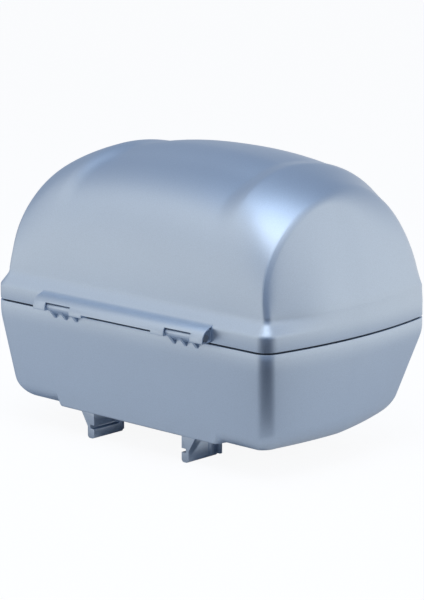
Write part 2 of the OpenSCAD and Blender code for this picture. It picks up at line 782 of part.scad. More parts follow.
module washer(r) {
    difference() {
        cylinder(r = r * 2.8, h = washer_t);
        translate([0, 0, -1]) cylinder(r = r + screw_fit, h = washer_t + 2);
    }
}

module foot_washers() {
    color(steel) at_foot_screws() translate([0, 0, floor_z]) washer(foot_screw_r);
}

// Lock at the back

frame_back = recess_in - frame_t;
nut_t = 4;
sleeve_in = frame_back - nut_t - 8;
disc_t = 4;
disc_y = sleeve_in - 2 - disc_t;
bolt_y = disc_y - 1.5 - bolt_t;
bolt_mid = drive_r - 1.5;
bolt_low = bolt_mid - bolt_h / 2;
frame_w = plate_w;
frame_top = seam_z - recess_top - 2;
frame_low = seam_z - recess_low + 2;
rib_t = 6;
rib_xs = [22, 42];
rib_low = lock_z - bolt_mid - bolt_h / 2 - 8;
rib_top = lock_z + bolt_mid + bolt_h / 2 + 8;
rib_front = bolt_y - 4;
cover_t = 3;
cover_screw_r = 1.5;
cover_screw_l = 12;
cover_screw_zs = [rib_low + 3.5, rib_top - 3.5];

module lock_frame() {
    color(black) difference() {
        union() {
            translate([-frame_w, frame_back, frame_low]) cube([2 * frame_w, frame_t, frame_top - frame_low]);
            for (sx = [0, 1], x = rib_xs) mirror([sx, 0, 0]) translate([x, rib_front, rib_low])
                cube([rib_t, frame_back - rib_front + bite, rib_top - rib_low]);
        }
        translate([0, 0, lock_z]) bar_y(sleeve_r + screw_fit, frame_back - 1, recess_in + 1);
        at_frame_screws() bar_y(frame_screw_r + screw_fit, frame_back - 1, recess_in + 1);
        for (sx = [-1, 1]) translate([sx > 0 ? rib_xs[0] - 1 : -rib_xs[1] - rib_t - 1,
                bolt_y - side_fit, lock_z + sx * bolt_mid - bolt_h / 2 - side_fit])
            cube([rib_xs[1] + rib_t - rib_xs[0] + 2, bolt_t + 2 * side_fit, bolt_h + 2 * side_fit]);
        for (sx = [-1, 1], z = cover_screw_zs) translate([sx * (rib_xs[1] + rib_t / 2), 0, z])
            bar_y(cover_screw_r + run_fit, rib_front - 1, rib_front + cover_screw_l + 2);
    }
}

module lock_cover() {
    w = rib_xs[1] + rib_t;
    color(black) difference() {
        translate([-w, rib_front - cover_t, rib_low]) cube([2 * w, cover_t, rib_top - rib_low]);
        for (sx = [-1, 1], z = cover_screw_zs) translate([sx * (rib_xs[1] + rib_t / 2), 0, z])
            bar_y(cover_screw_r + screw_fit, rib_front - cover_t - 1, rib_front + 1);
    }
}

// Screw along Y whose head sits on the plane y = seat and whose tip points to +Y
module screw_back(seat, tip, r) {
    head_h = r * head_high;
    bar_y(r, seat, tip);
    difference() {
        bar_y(r * head_ratio, seat - head_h, seat);
        translate([0, seat - head_h - 1, 0]) rotate([-90, 0, 0])
            cylinder(r = r * socket_ratio, h = head_h / 2 + 1, $fn = 6);
    }
}

module lock_cover_screws() {
    color(steel) for (sx = [-1, 1], z = cover_screw_zs) translate([sx * (rib_xs[1] + rib_t / 2), 0, z])
        screw_back(rib_front - cover_t, rib_front + cover_screw_l, cover_screw_r);
}

flange_t = 3.5;
flange_r = sleeve_r + 5;
plate_y = recess_out + plate_t;

module lock_sleeve() {
    color(steel) translate([0, 0, lock_z]) difference() {
        union() {
            bar_y(sleeve_r, sleeve_in, plate_y + bite);
            bar_y(flange_r, plate_y, plate_y + flange_t);
        }
        bar_y(barrel_r + run_fit, sleeve_in - 1, plate_y + flange_t + 1);
    }
}

module lock_nut() {
    color(steel) translate([0, 0, lock_z]) difference() {
        translate([0, frame_back - nut_t, 0]) rotate([-90, 0, 0])
            cylinder(r = flange_r, h = nut_t, $fn = 6);
        bar_y(sleeve_r + run_fit, frame_back - nut_t - 1, frame_back + 1);
    }
}

barrel_end = plate_y + flange_t + 1;

module lock_barrel() {
    key_w = 1.6;
    key_h = 8;
    key_d = 12;
    screw_hole = 16;
    color(steel) translate([0, 0, lock_z]) difference() {
        bar_y(barrel_r, disc_y + disc_t, barrel_end);
        translate([-key_w / 2, barrel_end - key_d, -key_h / 2]) cube([key_w, key_d + 1, key_h]);
        bar_y(frame_screw_r + run_fit, disc_y, disc_y + disc_t + screw_hole);
    }
}

module lock_disc() {
    color(steel) translate([0, 0, lock_z]) difference() {
        union() {
            bar_y(disc_r, disc_y, disc_y + disc_t);
            for (sz = [-1, 1]) translate([0, 0, sz * drive_r]) bar_y(drive_pin_r, bolt_y, disc_y + bite);
        }
        bar_y(frame_screw_r + screw_fit, disc_y - 1, disc_y + disc_t + 1);
        bar_y(frame_screw_r * head_ratio + side_fit, disc_y - 1, disc_y + disc_sink);
    }
}

// The head is sunk in the disc, clear of the bolts that slide past it
disc_sink = frame_screw_r * head_high - 0.9;

module disc_screw() {
    color(steel) translate([0, 0, lock_z])
        screw_back(disc_y + disc_sink, disc_y + disc_t + 14, frame_screw_r);
}

// Right bolt, above the lock's axis, with a fork for the upper drive pin
turn_deg = 60;
bolt_travel = drive_r * sin(turn_deg);
fork_slack = 0.9;

module latch_bolt() {
    fork_w = 2 * (drive_pin_r + fork_slack);
    tail = drive_pin_r + 6;
    color(steel) translate([0, bolt_y, lock_z + bolt_mid - bolt_h / 2]) difference() {
        translate([-tail, 0, 0]) cube([bolt_reach + tail, bolt_t, bolt_h]);
        translate([-fork_w / 2, -1, -1])
            cube([fork_w, bolt_t + 2, drive_r - bolt_low + drive_pin_r + side_fit + 1]);
    }
}

module right_latch_bolt() {
    latch_bolt();
}

module left_latch_bolt() {
    translate([0, 0, lock_z]) rotate([0, 180, 0]) translate([0, 0, -lock_z]) latch_bolt();
}

// Catches under the lid's back edge; each hangs into the lower shell and has a window for its bolt

catch_w = bolt_t + 12;
catch_y = bolt_y + bolt_t / 2 - catch_w / 2;
catch_top = lid_under + 4;
catch_low = lock_z - bolt_mid - bolt_h / 2 - 6;
strap_w = 20;
strap_up = 17;
catch_back = half_d - band_t;
catch_screw_r = 1.8;

module lid_catch(window_side) {
    gap = 0.7;
    color(black) difference() {
        union() {
            translate([catch_x, catch_y, catch_low])
                cube([catch_t, catch_w, seam_z + catch_top + catch_t - catch_low]);
            translate([catch_x, catch_y, seam_z + catch_top]) cube([strap_w, catch_back - catch_y, catch_t]);
            translate([catch_x, catch_back - catch_t, seam_z + catch_top]) cube([strap_w, catch_t, strap_up]);
        }
        translate([catch_x - 1, bolt_y - gap, lock_z + window_side * bolt_mid - bolt_h / 2 - gap])
            cube([catch_t + 2, bolt_t + 2 * gap, bolt_h + 2 * gap]);
        at_catch_screws() bar_y(catch_screw_r + screw_fit, catch_back - catch_t - 1, catch_back + 1);
    }
}

module at_catch_screws() {
    for (x = [strap_w * 0.3, strap_w * 0.75])
        translate([catch_x + x, 0, seam_z + catch_top + strap_up - 5]) children();
}

module right_lid_catch() {
    lid_catch(1);
}

module left_lid_catch() {
    mirror([1, 0, 0]) lid_catch(-1);
}

module catch_screws() {
    color(steel) for (sx = [0, 1]) mirror([sx, 0, 0]) at_catch_screws()
        screw_back(catch_back - catch_t, catch_back + band_t * 0.6, catch_screw_r);
}

// Carry handle in the recess

pivot_z = seam_z - pivot_drop;
grip_y = half_d + hood_r - grip_r;
pivot_y = plate_y + 8.5;
arm_turn = asin((grip_y - pivot_y) / handle_l);
ear_x = arm_x + arm_t + side_fit;
eye_r = 7;
boss_r = 5;
arm_half = 5.5;
// Posts on the plate that stop the arms where the grip still stands clear of the back wall
post_r = 3.5;
post_z = pivot_z - handle_l * 0.6;
post_y = pivot_y + (pivot_z - post_z - post_r) * tan(arm_turn) - arm_half / cos(arm_turn) - side_fit;
plate_top = seam_z - recess_top - 1.5;
plate_low = seam_z - recess_low + 1.5;

module handle_plate() {
    ear_w = plate_w - ear_x;
    blind = 6;
    color(black) difference() {
        union() {
            translate([-plate_w, recess_out, plate_low]) cube([2 * plate_w, plate_t, plate_top - plate_low]);
            for (sx = [0, 1]) mirror([sx, 0, 0]) {
                translate([ear_x, recess_out, pivot_z - eye_r])
                    cube([ear_w, pivot_y - recess_out, plate_top - pivot_z + eye_r]);
                translate([0, pivot_y, pivot_z]) bar_x(eye_r, ear_x, plate_w);
                translate([frame_screw_x, 0, frame_screw_zs[1]]) bar_y(boss_r, recess_out, plate_y + blind);
                translate([arm_x + arm_t / 2, 0, post_z]) bar_y(post_r, recess_out, post_y);
            }
        }
        for (sx = [0, 1]) mirror([sx, 0, 0]) translate([0, pivot_y, pivot_z])
            bar_x(pivot_r + run_fit / 2, ear_x - 1, ear_x + 14);
        translate([0, 0, lock_z]) bar_y(sleeve_r + screw_fit, recess_out - 1, plate_y + 1);
        at_frame_screws() bar_y(frame_screw_r + run_fit, recess_out - 1, plate_y + blind - 1.5);
    }
}

module handle_pins() {
    color(steel) for (sx = [0, 1]) mirror([sx, 0, 0]) translate([0, pivot_y, pivot_z])
        bar_x(pivot_r, arm_x + 1, ear_x + 13);
}

module carry_handle() {
    color(black) difference() {
        union() {
            translate([0, pivot_y, pivot_z]) rotate([arm_turn, 0, 0]) {
                translate([0, 0, -handle_l]) bar_x(grip_r, -arm_x - arm_t, arm_x + arm_t);
                for (sx = [0, 1]) mirror([sx, 0, 0]) {
                    bar_x(eye_r, arm_x, arm_x + arm_t);
                    translate([arm_x, -arm_half, -handle_l]) cube([arm_t, 2 * arm_half, handle_l]);
                }
            }
        }
        for (sx = [0, 1]) mirror([sx, 0, 0]) translate([0, pivot_y, pivot_z])
            bar_x(pivot_r + run_fit, arm_x + 1 - side_fit, arm_x + arm_t + 1);
    }
}

module frame_screws() {
    color(steel) at_frame_screws() screw_back(frame_back, plate_y + 3.5, frame_screw_r);
}

// Carrier lock under the back of the lower shell

cap_len = 7;
wall_front = 8;
collar_t = 3;
rest_collar = block_y + wall_front;
cap_screw_z = 8;
cap_screw_r = 2;

module carrier_block() {
    color(black) difference() {
        translate([-block_w, block_y, 0]) cube([2 * block_w, block_l, foot_h]);
        translate([0, 0, slot_z]) {
            bar_y(nose_r + run_fit, block_y - 1, block_back);
            bar_y(chamber_r, rest_collar, block_back + 1);
        }
        at_block_screws() translate([0, 0, slot_z + 4]) cylinder(r = foot_screw_r + run_fit, h = foot_h);
        for (sx = [-1, 1]) translate([sx * block_screw_x, 0, cap_screw_z])
            bar_y(cap_screw_r + run_fit, block_back - 14, block_back + 1);
    }
}

module block_screws() {
    color(steel) at_block_screws() screw_up(slot_z + 5, floor_z, foot_screw_r);
}

module carrier_cap() {
    color(black) difference() {
        translate([-block_w, block_back, 2]) cube([2 * block_w, cap_len, foot_h - 3]);
        translate([0, 0, slot_z]) bar_y(rod_r + run_fit, block_back - 1, block_back + cap_len + 1);
        for (sx = [-1, 1]) translate([sx * block_screw_x, 0, cap_screw_z])
            bar_y(cap_screw_r + screw_fit, block_back - 1, block_back + cap_len + 1);
    }
}

module cap_screws() {
    color(steel) for (sx = [-1, 1]) translate([sx * block_screw_x, 0, cap_screw_z]) mirror([0, 1, 0])
        screw_back(-block_back - cap_len, -block_back + 12, cap_screw_r);
}

knob_y = block_back + cap_len + 1.5;
knob_l = 17;
neck_r = knob_r * 0.75;
knob_pin_r = 1;
knob_pin_y = knob_y + knob_l / 4;
rod_end = knob_y + knob_l - 4;
collar_r = chamber_r - side_fit;
nose_step = 0.5;

module carrier_plunger() {
    color(steel) translate([0, 0, slot_z]) difference() {
        union() {
            bar_y(nose_r - nose_step, block_y - nose_l, block_y);
            bar_y(nose_r, block_y - bite, rest_collar + side_fit + bite);
            bar_y(collar_r, rest_collar + side_fit, rest_collar + side_fit + collar_t);
            bar_y(rod_r, rest_collar + side_fit, rod_end);
        }
        translate([0, knob_pin_y, -rod_r - 1]) cylinder(r = knob_pin_r + run_fit, h = 2 * rod_r + 2);
    }
}

module plunger_knob() {
    color(black) translate([0, 0, slot_z]) difference() {
        union() {
            bar_y(neck_r, knob_y, knob_y + knob_l / 2);
            bar_y(knob_r, knob_y + knob_l / 2, knob_y + knob_l);
        }
        bar_y(rod_r + run_fit, knob_y - 1, rod_end + run_fit);
        translate([0, knob_pin_y, -knob_r - 1]) cylinder(r = knob_pin_r + run_fit, h = 2 * knob_r + 2);
    }
}

module knob_pin() {
    color(steel) translate([0, knob_pin_y, slot_z - neck_r + knob_pin_r])
        cylinder(r = knob_pin_r, h = 2 * (neck_r - knob_pin_r));
}

// Plunger spring: one helical tube between the collar and the cap
spring_r = (chamber_r + rod_r) / 2;
spring_from = rest_collar + side_fit + collar_t + wire_d / 2 + 0.1;
spring_to = block_back - wire_d / 2 - 0.1;
spring_steps = 8;
spring_sides = 6;
function coil_pt(s) = [
    spring_r * cos(360 * s / spring_steps),
    mix(spring_from, spring_to, s / (turns * spring_steps)),
    slot_z + spring_r * sin(360 * s / spring_steps)
];
coil = [for (s = [0 : turns * spring_steps]) coil_pt(s)];
coil_gap = min([for (a = [0 : len(coil) - 1], b = [a + spring_steps - 2 : 1 : len(coil) - 1])
    norm(coil[a] - coil[b])]) - wire_d;
echo(least_gap_between_spring_turns = coil_gap);

module plunger_spring() {
    n = len(coil);
    ids = [for (s = [0 : n - 1]) [for (k = [0 : spring_sides - 1]) s * spring_sides + k]];
    color(steel) polyhedron(
        points = [for (s = [0 : n - 1], k = [0 : spring_sides - 1])
            let (
                out = unit([coil[s][0], 0, coil[s][2] - slot_z]),
                a = 360 * k / spring_sides
            )
            coil[s] + wire_d / 2 * (cos(a) * out + sin(a) * [0, 1, 0])],
        faces = concat(
            [for (s = [0 : n - 2]) each band_faces(ids[s], ids[s + 1])],
            [[for (k = [spring_sides - 1 : -1 : 0]) ids[0][k]]],
            [ids[n - 1]]
        )
    );
}

module rear_buffers() {
    buffer_x = 112;
    buffer_low = slot_z + slot_h / 2 + buffer_gap;
    color(rubber) for (sx = [-1, 1]) translate([sx * buffer_x, block_y + buffer_r, buffer_low])
        cylinder(r = buffer_r, h = foot_h - buffer_low);
}

base_shell();
lid_shell();
lid_seal();
hinge_hood();
left_hinge_knuckle();
right_hinge_knuckle();
hinge_pin();
hinge_pin_caps();
left_foot();
right_foot();
foot_screws();
foot_washers();
lock_frame();
lock_cover();
lock_cover_screws();
lock_sleeve();
lock_nut();
lock_barrel();
lock_disc();
disc_screw();
right_latch_bolt();
left_latch_bolt();
right_lid_catch();
left_lid_catch();
catch_screws();
handle_plate();
carry_handle();
handle_pins();
frame_screws();
carrier_block();
carrier_cap();
cap_screws();
block_screws();
carrier_plunger();
plunger_spring();
plunger_knob();
knob_pin();
rear_buffers();
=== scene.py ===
# %% [markdown]
# # A motorcycle top case
# The case is two painted shells on a long hinge, with hooked feet below and a lock and a carry handle at the back.
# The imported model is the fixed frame, whose solids are never moved or reshaped. The visible surfaces are built
# around it here. Sizes are written in millimetres and become metres where a mesh is made.

# %% Load the frame
import json
import math

import bmesh
import bpy
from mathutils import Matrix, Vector


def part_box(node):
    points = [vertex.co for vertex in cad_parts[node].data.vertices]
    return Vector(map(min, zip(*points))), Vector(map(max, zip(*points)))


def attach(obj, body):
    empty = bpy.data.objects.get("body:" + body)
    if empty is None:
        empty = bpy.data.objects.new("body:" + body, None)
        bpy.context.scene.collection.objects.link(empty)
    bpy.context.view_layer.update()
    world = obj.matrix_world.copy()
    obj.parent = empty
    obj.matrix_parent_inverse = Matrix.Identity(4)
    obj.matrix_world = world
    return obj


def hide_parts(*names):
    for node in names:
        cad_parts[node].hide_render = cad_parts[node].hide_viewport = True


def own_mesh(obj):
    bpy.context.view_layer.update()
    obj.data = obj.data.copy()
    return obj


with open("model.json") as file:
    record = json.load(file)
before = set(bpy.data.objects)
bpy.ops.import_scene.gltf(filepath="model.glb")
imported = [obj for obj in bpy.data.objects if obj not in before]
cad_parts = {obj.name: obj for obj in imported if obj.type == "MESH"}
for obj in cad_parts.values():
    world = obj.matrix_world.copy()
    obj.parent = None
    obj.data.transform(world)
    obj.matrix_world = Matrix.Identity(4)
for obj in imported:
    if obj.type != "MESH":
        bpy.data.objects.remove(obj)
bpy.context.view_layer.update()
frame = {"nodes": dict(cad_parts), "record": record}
MM = 0.001
HALF_GAP = 1.0
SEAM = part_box("base_shell")[1].z / MM + HALF_GAP
print("seam height in mm", round(SEAM, 2))

# %% [markdown]
# ## Camera
# The photograph looks at the front right corner from a little above, through a long lens. A camera could be set by
# eye, but a small error shifts every line. These angles and this distance come from fitting a perspective camera
# to the seam, the hinge and the outline.

# %% Camera
AZIMUTH, ELEVATION = math.radians(43.155), math.radians(12.228)
DISTANCE, LENS, FAR_CLIP = 3.31019, 157.085, 50
SHIFT_RIGHT, ABOVE_SEAM = 4.665, 8.183
towards_camera = Vector((
    math.sin(AZIMUTH) * math.cos(ELEVATION), -math.cos(AZIMUTH) * math.cos(ELEVATION), math.sin(ELEVATION)))
to_the_right = Vector((math.cos(AZIMUTH), math.sin(AZIMUTH), 0))
look_at = to_the_right * SHIFT_RIGHT * MM + Vector((0, 0, (SEAM + ABOVE_SEAM) * MM))
camera = bpy.data.objects.new("camera", bpy.data.cameras.new("camera"))
camera.data.lens = LENS
camera.data.clip_end = FAR_CLIP
camera.location = look_at + towards_camera * DISTANCE
camera.rotation_euler = towards_camera.to_track_quat("Z", "Y").to_euler()
bpy.context.scene.collection.objects.link(camera)
bpy.context.scene.camera = camera
bpy.context.scene.view_settings.view_transform = "Standard"
print("camera at", [round(v, 3) for v in camera.location])


# %% [markdown]
# ## Helpers for meshes
# Every piece is a mesh object at the origin, with its place in its vertices. `mix` and `ease` blend two values, the
# second one softly at both ends. `finish_mesh` turns a bmesh into an object: its faces are shaded smooth, and only
# edges sharper than a limit stay crisp.

# %% Mesh helpers
def mix(a, b, t):
    return a + (b - a) * t


def ease(a, b, v):
    t = min(max((v - a) / (b - a), 0), 1)
    return t * t * (3 - 2 * t)


def steps(a, b, n):
    return [mix(a, b, i / n) for i in range(n + 1)]


def only(made, kind):
    return [item for item in made if isinstance(item, kind)]


def finish_mesh(bm, name, material, smooth_below=40):
    for face in bm.faces:
        face.smooth = True
    sharp = math.radians(smooth_below)
    for edge in bm.edges:
        edge.smooth = len(edge.link_faces) == 2 and edge.calc_face_angle(0) < sharp
    mesh = bpy.data.meshes.new(name)
    bm.to_mesh(mesh)
    bm.free()
    mesh.materials.append(material)
    piece = bpy.data.objects.new(name, mesh)
    bpy.context.scene.collection.objects.link(piece)
    return piece


print("a quarter of the way, eased", ease(0, 1, 0.25))


# %% [markdown]
# ## Helpers for nodes
# A material is a small graph. These helpers add a node, set its values, and do sums with numbers or with the output
# of another node. They keep the recipes below short enough to read.

# %% Node helpers
def add_node(tree, kind, settings=None, **values):
    node = tree.nodes.new(kind)
    for key, value in (settings or {}).items():
        setattr(node, key, value)
    for key, value in values.items():
        node.inputs[key].default_value = value
    return node


def maths(tree, operation, a, b):
    node = add_node(tree, "ShaderNodeMath", {"operation": operation})
    for socket, value in zip(node.inputs, (a, b)):
        if isinstance(value, (int, float)):
            socket.default_value = value
        else:
            tree.links.new(value, socket)
    return node.outputs[0]


def without(tree, value):
    return maths(tree, "SUBTRACT", 1.0, value)


def vectors(tree, operation, vector, constant=None):
    node = add_node(tree, "ShaderNodeVectorMath", {"operation": operation})
    tree.links.new(vector, node.inputs[0])
    if constant:
        node.inputs[1].default_value = constant
    return node.outputs["Value" if operation in ("LENGTH", "DOT_PRODUCT") else "Vector"]


def two_colours(tree, factor, a, b):
    node = add_node(tree, "ShaderNodeMix", {"data_type": "RGBA"}, A=(*a, 1), B=(*b, 1))
    tree.links.new(factor, node.inputs["Factor"])
    return node


# %% [markdown]
# ## Shared surface effects
# Real finishes are never one flat colour. Each effect is a node group with named inputs, so that several materials
# can use it with their own values. `mottle` gives slow changes of tone, `grain` gives a fine moulded or sprayed
# texture, and `smudges` marks faint patches where hands and wiping have dulled the surface.

# %% Node groups
SMUDGE_SCALE, SMUDGE_FROM = 26.0, 0.45


def new_group(name, inputs, outputs):
    group = bpy.data.node_groups.new(name, "ShaderNodeTree")
    for label, value in inputs:
        socket = group.interface.new_socket(label, in_out="INPUT", socket_type="NodeSocketFloat")
        socket.default_value = value
    for label in outputs:
        group.interface.new_socket(label, in_out="OUTPUT", socket_type="NodeSocketFloat")
    place = add_node(group, "ShaderNodeTexCoord").outputs["Object"]
    return group, group.nodes.new("NodeGroupInput"), group.nodes.new("NodeGroupOutput"), place


def make_mottle():
    group, inside, outside, place = new_group("mottle", [("Scale", 12.0), ("Amount", 0.1)], ["Tone"])
    noise = add_node(group, "ShaderNodeTexNoise", Detail=4.0, Roughness=0.6)
    group.links.new(place, noise.inputs["Vector"])
    group.links.new(inside.outputs["Scale"], noise.inputs["Scale"])
    centred = maths(group, "SUBTRACT", noise.outputs[0], 0.5)
    scaled = maths(group, "MULTIPLY", centred, inside.outputs["Amount"])
    group.links.new(maths(group, "ADD", scaled, 1.0), outside.inputs["Tone"])
    return group


def make_grain():
    group, inside, outside, place = new_group("grain", [("Scale", 900.0)], ["Height", "Fleck"])
    noise = add_node(group, "ShaderNodeTexNoise", Detail=3.0, Roughness=0.55)
    cells = add_node(group, "ShaderNodeTexVoronoi")
    for node in (noise, cells):
        group.links.new(place, node.inputs["Vector"])
        group.links.new(inside.outputs["Scale"], node.inputs["Scale"])
    group.links.new(noise.outputs[0], outside.inputs["Height"])
    group.links.new(cells.outputs["Color"], outside.inputs["Fleck"])
    return group


def make_smudges():
    group, inside, outside, place = new_group("smudges", [("Amount", 0.2)], ["Mask"])
    patches = add_node(group, "ShaderNodeTexNoise", Scale=SMUDGE_SCALE, Detail=6.0, Roughness=0.65)
    group.links.new(place, patches.inputs["Vector"])
    marked = maths(group, "MAXIMUM", maths(group, "SUBTRACT", patches.outputs[0], SMUDGE_FROM), 0.0)
    group.links.new(maths(group, "MULTIPLY", marked, inside.outputs["Amount"]), outside.inputs["Mask"])
    return group


mottle, grain, smudges = make_mottle(), make_grain(), make_smudges()
print("groups", [g.name for g in bpy.data.node_groups])


# %% [markdown]
# ## A recipe for finishes
# Paint, plastic and steel differ in their values more than in their build, so one recipe serves them all. The
# colour gets slow tone changes and tiny flecks, then greys a little where it is smudged. The grain moves the
# roughness and tilts the surface through a bump node.

# %% Finish recipe
COAT_ROUGHNESS, GRAIN_HEIGHT = 0.12, 0.0004
SMUDGE_GREY = (0.62, 0.61, 0.58)


def use_group(tree, group, **values):
    node = tree.nodes.new("ShaderNodeGroup")
    node.node_tree = group
    for key, value in values.items():
        node.inputs[key].default_value = value
    return node


def make_finish(name, colour, roughness, metallic, tone, grain_scale, grain_depth, smudge,
                fleck=0.0, spread=0.15, coat=0.0):
    material = bpy.data.materials.new(name)
    material.use_nodes = True
    tree = material.node_tree
    shader = tree.nodes["Principled BSDF"]
    shader.inputs["Metallic"].default_value = metallic
    shader.inputs["Coat Weight"].default_value = coat
    shader.inputs["Coat Roughness"].default_value = COAT_ROUGHNESS
    soft = use_group(tree, mottle, Scale=tone[0], Amount=tone[1])
    fine = use_group(tree, grain, Scale=grain_scale)
    dull = use_group(tree, smudges, Amount=smudge).outputs["Mask"]
    speck = maths(tree, "MULTIPLY", maths(tree, "SUBTRACT", fine.outputs["Fleck"], 0.5), fleck)
    tinted = add_node(tree, "ShaderNodeVectorMath", {"operation": "SCALE"})
    tinted.inputs[0].default_value = colour
    tree.links.new(maths(tree, "ADD", soft.outputs["Tone"], speck), tinted.inputs["Scale"])
    greyed = two_colours(tree, dull, colour, SMUDGE_GREY)
    tree.links.new(tinted.outputs[0], greyed.inputs["A"])
    tree.links.new(greyed.outputs["Result"], shader.inputs["Base Color"])
    rough = maths(tree, "MULTIPLY", maths(tree, "SUBTRACT", fine.outputs["Height"], 0.5), spread)
    worn = maths(tree, "ADD", maths(tree, "ADD", rough, roughness), dull)
    tree.links.new(worn, shader.inputs["Roughness"])
    bump = add_node(tree, "ShaderNodeBump", Strength=grain_depth, Distance=GRAIN_HEIGHT)
    tree.links.new(fine.outputs["Height"], bump.inputs["Height"])
    tree.links.new(bump.outputs[0], shader.inputs["Normal"])
    return material


# %% [markdown]
# ## Finishes
# The shells carry a satin metallic paint: tiny flakes under a thin clear coat. The feet are the same tone in
# moulded plastic, the lock and handle parts are grained black plastic, and the fasteners are plated steel. A
# metallic base was chosen for the paint, because the photograph shows it mirroring the room softly.

# %% Materials
silver_paint = make_finish(
    "silver paint", (0.60, 0.70, 0.83), roughness=0.44, metallic=0.85, tone=(9.0, 0.05), grain_scale=1500.0,
    grain_depth=0.05, smudge=0.02, fleck=0.10, spread=0.06, coat=0.15)
foot_plastic = make_finish(
    "foot plastic", (0.50, 0.58, 0.69), roughness=0.32, metallic=0.85, tone=(30.0, 0.12), grain_scale=1100.0,
    grain_depth=0.10, smudge=0.05, fleck=0.05)
black_plastic = make_finish(
    "black plastic", (0.022, 0.022, 0.024), roughness=0.5, metallic=0.0, tone=(20.0, 0.3), grain_scale=1300.0,
    grain_depth=0.35, smudge=0.12)
plated_steel = make_finish(
    "plated steel", (0.56, 0.57, 0.59), roughness=0.32, metallic=1.0, tone=(60.0, 0.25), grain_scale=700.0,
    grain_depth=0.05, smudge=0.05)
lock_chrome = make_finish(
    "lock chrome", (0.66, 0.67, 0.69), roughness=0.16, metallic=1.0, tone=(40.0, 0.1), grain_scale=500.0,
    grain_depth=0.02, smudge=0.05)
spring_wire = make_finish(
    "spring wire", (0.30, 0.31, 0.33), roughness=0.3, metallic=1.0, tone=(80.0, 0.3), grain_scale=600.0,
    grain_depth=0.05, smudge=0.0)
seal_rubber = make_finish(
    "seal rubber", (0.014, 0.014, 0.015), roughness=0.72, metallic=0.0, tone=(35.0, 0.4), grain_scale=800.0,
    grain_depth=0.25, smudge=0.15)
FINISHES = {
    "painted_shell": silver_paint, "foot_plastic": foot_plastic, "black_plastic": black_plastic,
    "plated_steel": plated_steel, "lock_chrome": lock_chrome, "spring_steel": spring_wire,
    "seal_rubber": seal_rubber,
}
print("finishes", sorted(FINISHES))

# %% [markdown]
# ## The outline both shells share
# Seen from above, the case is a rectangle with gently bulged ends and round corners. A quarter of it is enough,
# because the rest is its mirror image. A point on it is named by its stretch (end, corner or side) and its share of
# that stretch, so every ring of points keeps the same order when it is drawn in. The numbers are those of the CAD
# part.

# %% Plan outline
HALF_W, HALF_D = 250.0, 150.0
CORNER_R, END_BULGE, LEAST_R = 20.0, 18.0, 3.0
END_R = (HALF_D ** 2 + END_BULGE ** 2) / (2 * END_BULGE)
END_X = HALF_W - END_R


def outline(kind, share, inset, extra=0.0):
    r = max(CORNER_R - inset + extra, LEAST_R)
    e = END_R - inset
    vy = HALF_D - inset - r
    vx = END_X + math.sqrt((e - r) ** 2 - vy * vy)
    turn = math.atan2(vy, vx - END_X)
    if kind == "end":
        return END_X + e * math.cos(share * turn), e * math.sin(share * turn)
    if kind == "corner":
        b = turn + share * (math.pi / 2 - turn)
        return vx + r * math.cos(b), vy + r * math.sin(b)
    return share, HALF_D - inset


print("corner runs from", [round(v, 1) for v in outline("corner", 0, 0)],
      "to", [round(v, 1) for v in outline("corner", 1, 0)])

# %% [markdown]
# ## Lid: rows and columns
# The lid is a vault with a shallow scoop between two end lobes, closed by leaning end panels. It could be sculpted,
# but a crease that fades needs exact control. So one grid covers the whole top, and each of its points is placed
# by a rule. A row is one arch from front to back, and the columns cross the rows from end to end. Rows stand closer
# together where the surface bends.

# %% Lid rows and columns
LOBE_IN, LOBE_OUT, LOBE_MARGIN = 112.0, 143.0, 5
LOBE_FROM, LOBE_TO = LOBE_IN - LOBE_MARGIN, LOBE_OUT + LOBE_MARGIN
PANEL_X, CREASE_W, PANEL_START = HALF_W - 37.2, 14.0, 0.12
VAULT_END = PANEL_X - CREASE_W
COLUMNS = 64
ROWS = []
for first, last, count in ((0, LOBE_FROM, 8), (LOBE_FROM, LOBE_TO, 16), (LOBE_TO, VAULT_END, 14)):
    ROWS += [("vault", x) for x in steps(first, last, count)[:-1]]
ROWS += [("crease", s) for s in steps(0, 1, 14)[:-1]]
ROWS += [("panel", w) for w in steps(PANEL_START, 1, 10)]
LAST = len(ROWS) - 1
print("lid grid has", 2 * LAST, "by", COLUMNS, "faces")

# %% [markdown]
# ## Lid: feet
# Every row and column ends on the border of the grid, which is the lid's foot. Rows of the vault stand on the
# straight sides, rows of the crease and the panel share the round corners, and columns stand on the ends. The foot
# is drawn in by the flare at the front. Towards the back the flare runs out, so the step shrinks there.

# %% Lid feet
WALL_Z, BAND_STEP, BACK_STEP, FLARE_GONE = 40.0, 12.0, 1.0, -40.0
CREASE_FOOT, END_FOOT, LAST_CORNER_FOOT = 0.87, 0.5, 0.2
FOOT_RATIO = outline("corner", 1, BAND_STEP)[0] / VAULT_END
UNITS, CORNER_UNITS, END_UNITS, UNIT_TURN = 24, 1.5, 2, math.radians(7.5)


def panel_foot(w):
    return mix(CREASE_FOOT, END_FOOT, w)


def crease_foot(s):
    return mix(mix(1, CREASE_FOOT, s), mix(CREASE_FOOT, panel_foot(PANEL_START), s), s)


def row_foot(m):
    kind, value = ROWS[m]
    if kind == "vault":
        return "side", value * FOOT_RATIO
    return "corner", crease_foot(value) if kind == "crease" else panel_foot(value)


def column_foot(j):
    c = min(j, COLUMNS - j) * UNITS / COLUMNS
    if c < 1:
        return "corner", mix(END_FOOT, LAST_CORNER_FOOT, c)
    if c < CORNER_UNITS:
        return "corner", LAST_CORNER_FOOT * (CORNER_UNITS - c) / (CORNER_UNITS - 1)
    share = math.cos(UNIT_TURN * max(c, END_UNITS)) / math.cos(UNIT_TURN)
    return "end", mix(1, share, min((c - CORNER_UNITS) / (END_UNITS - CORNER_UNITS), 1))


def edge_foot(i, j):
    m = abs(i - LAST)
    return column_foot(j) if m == LAST else row_foot(m)


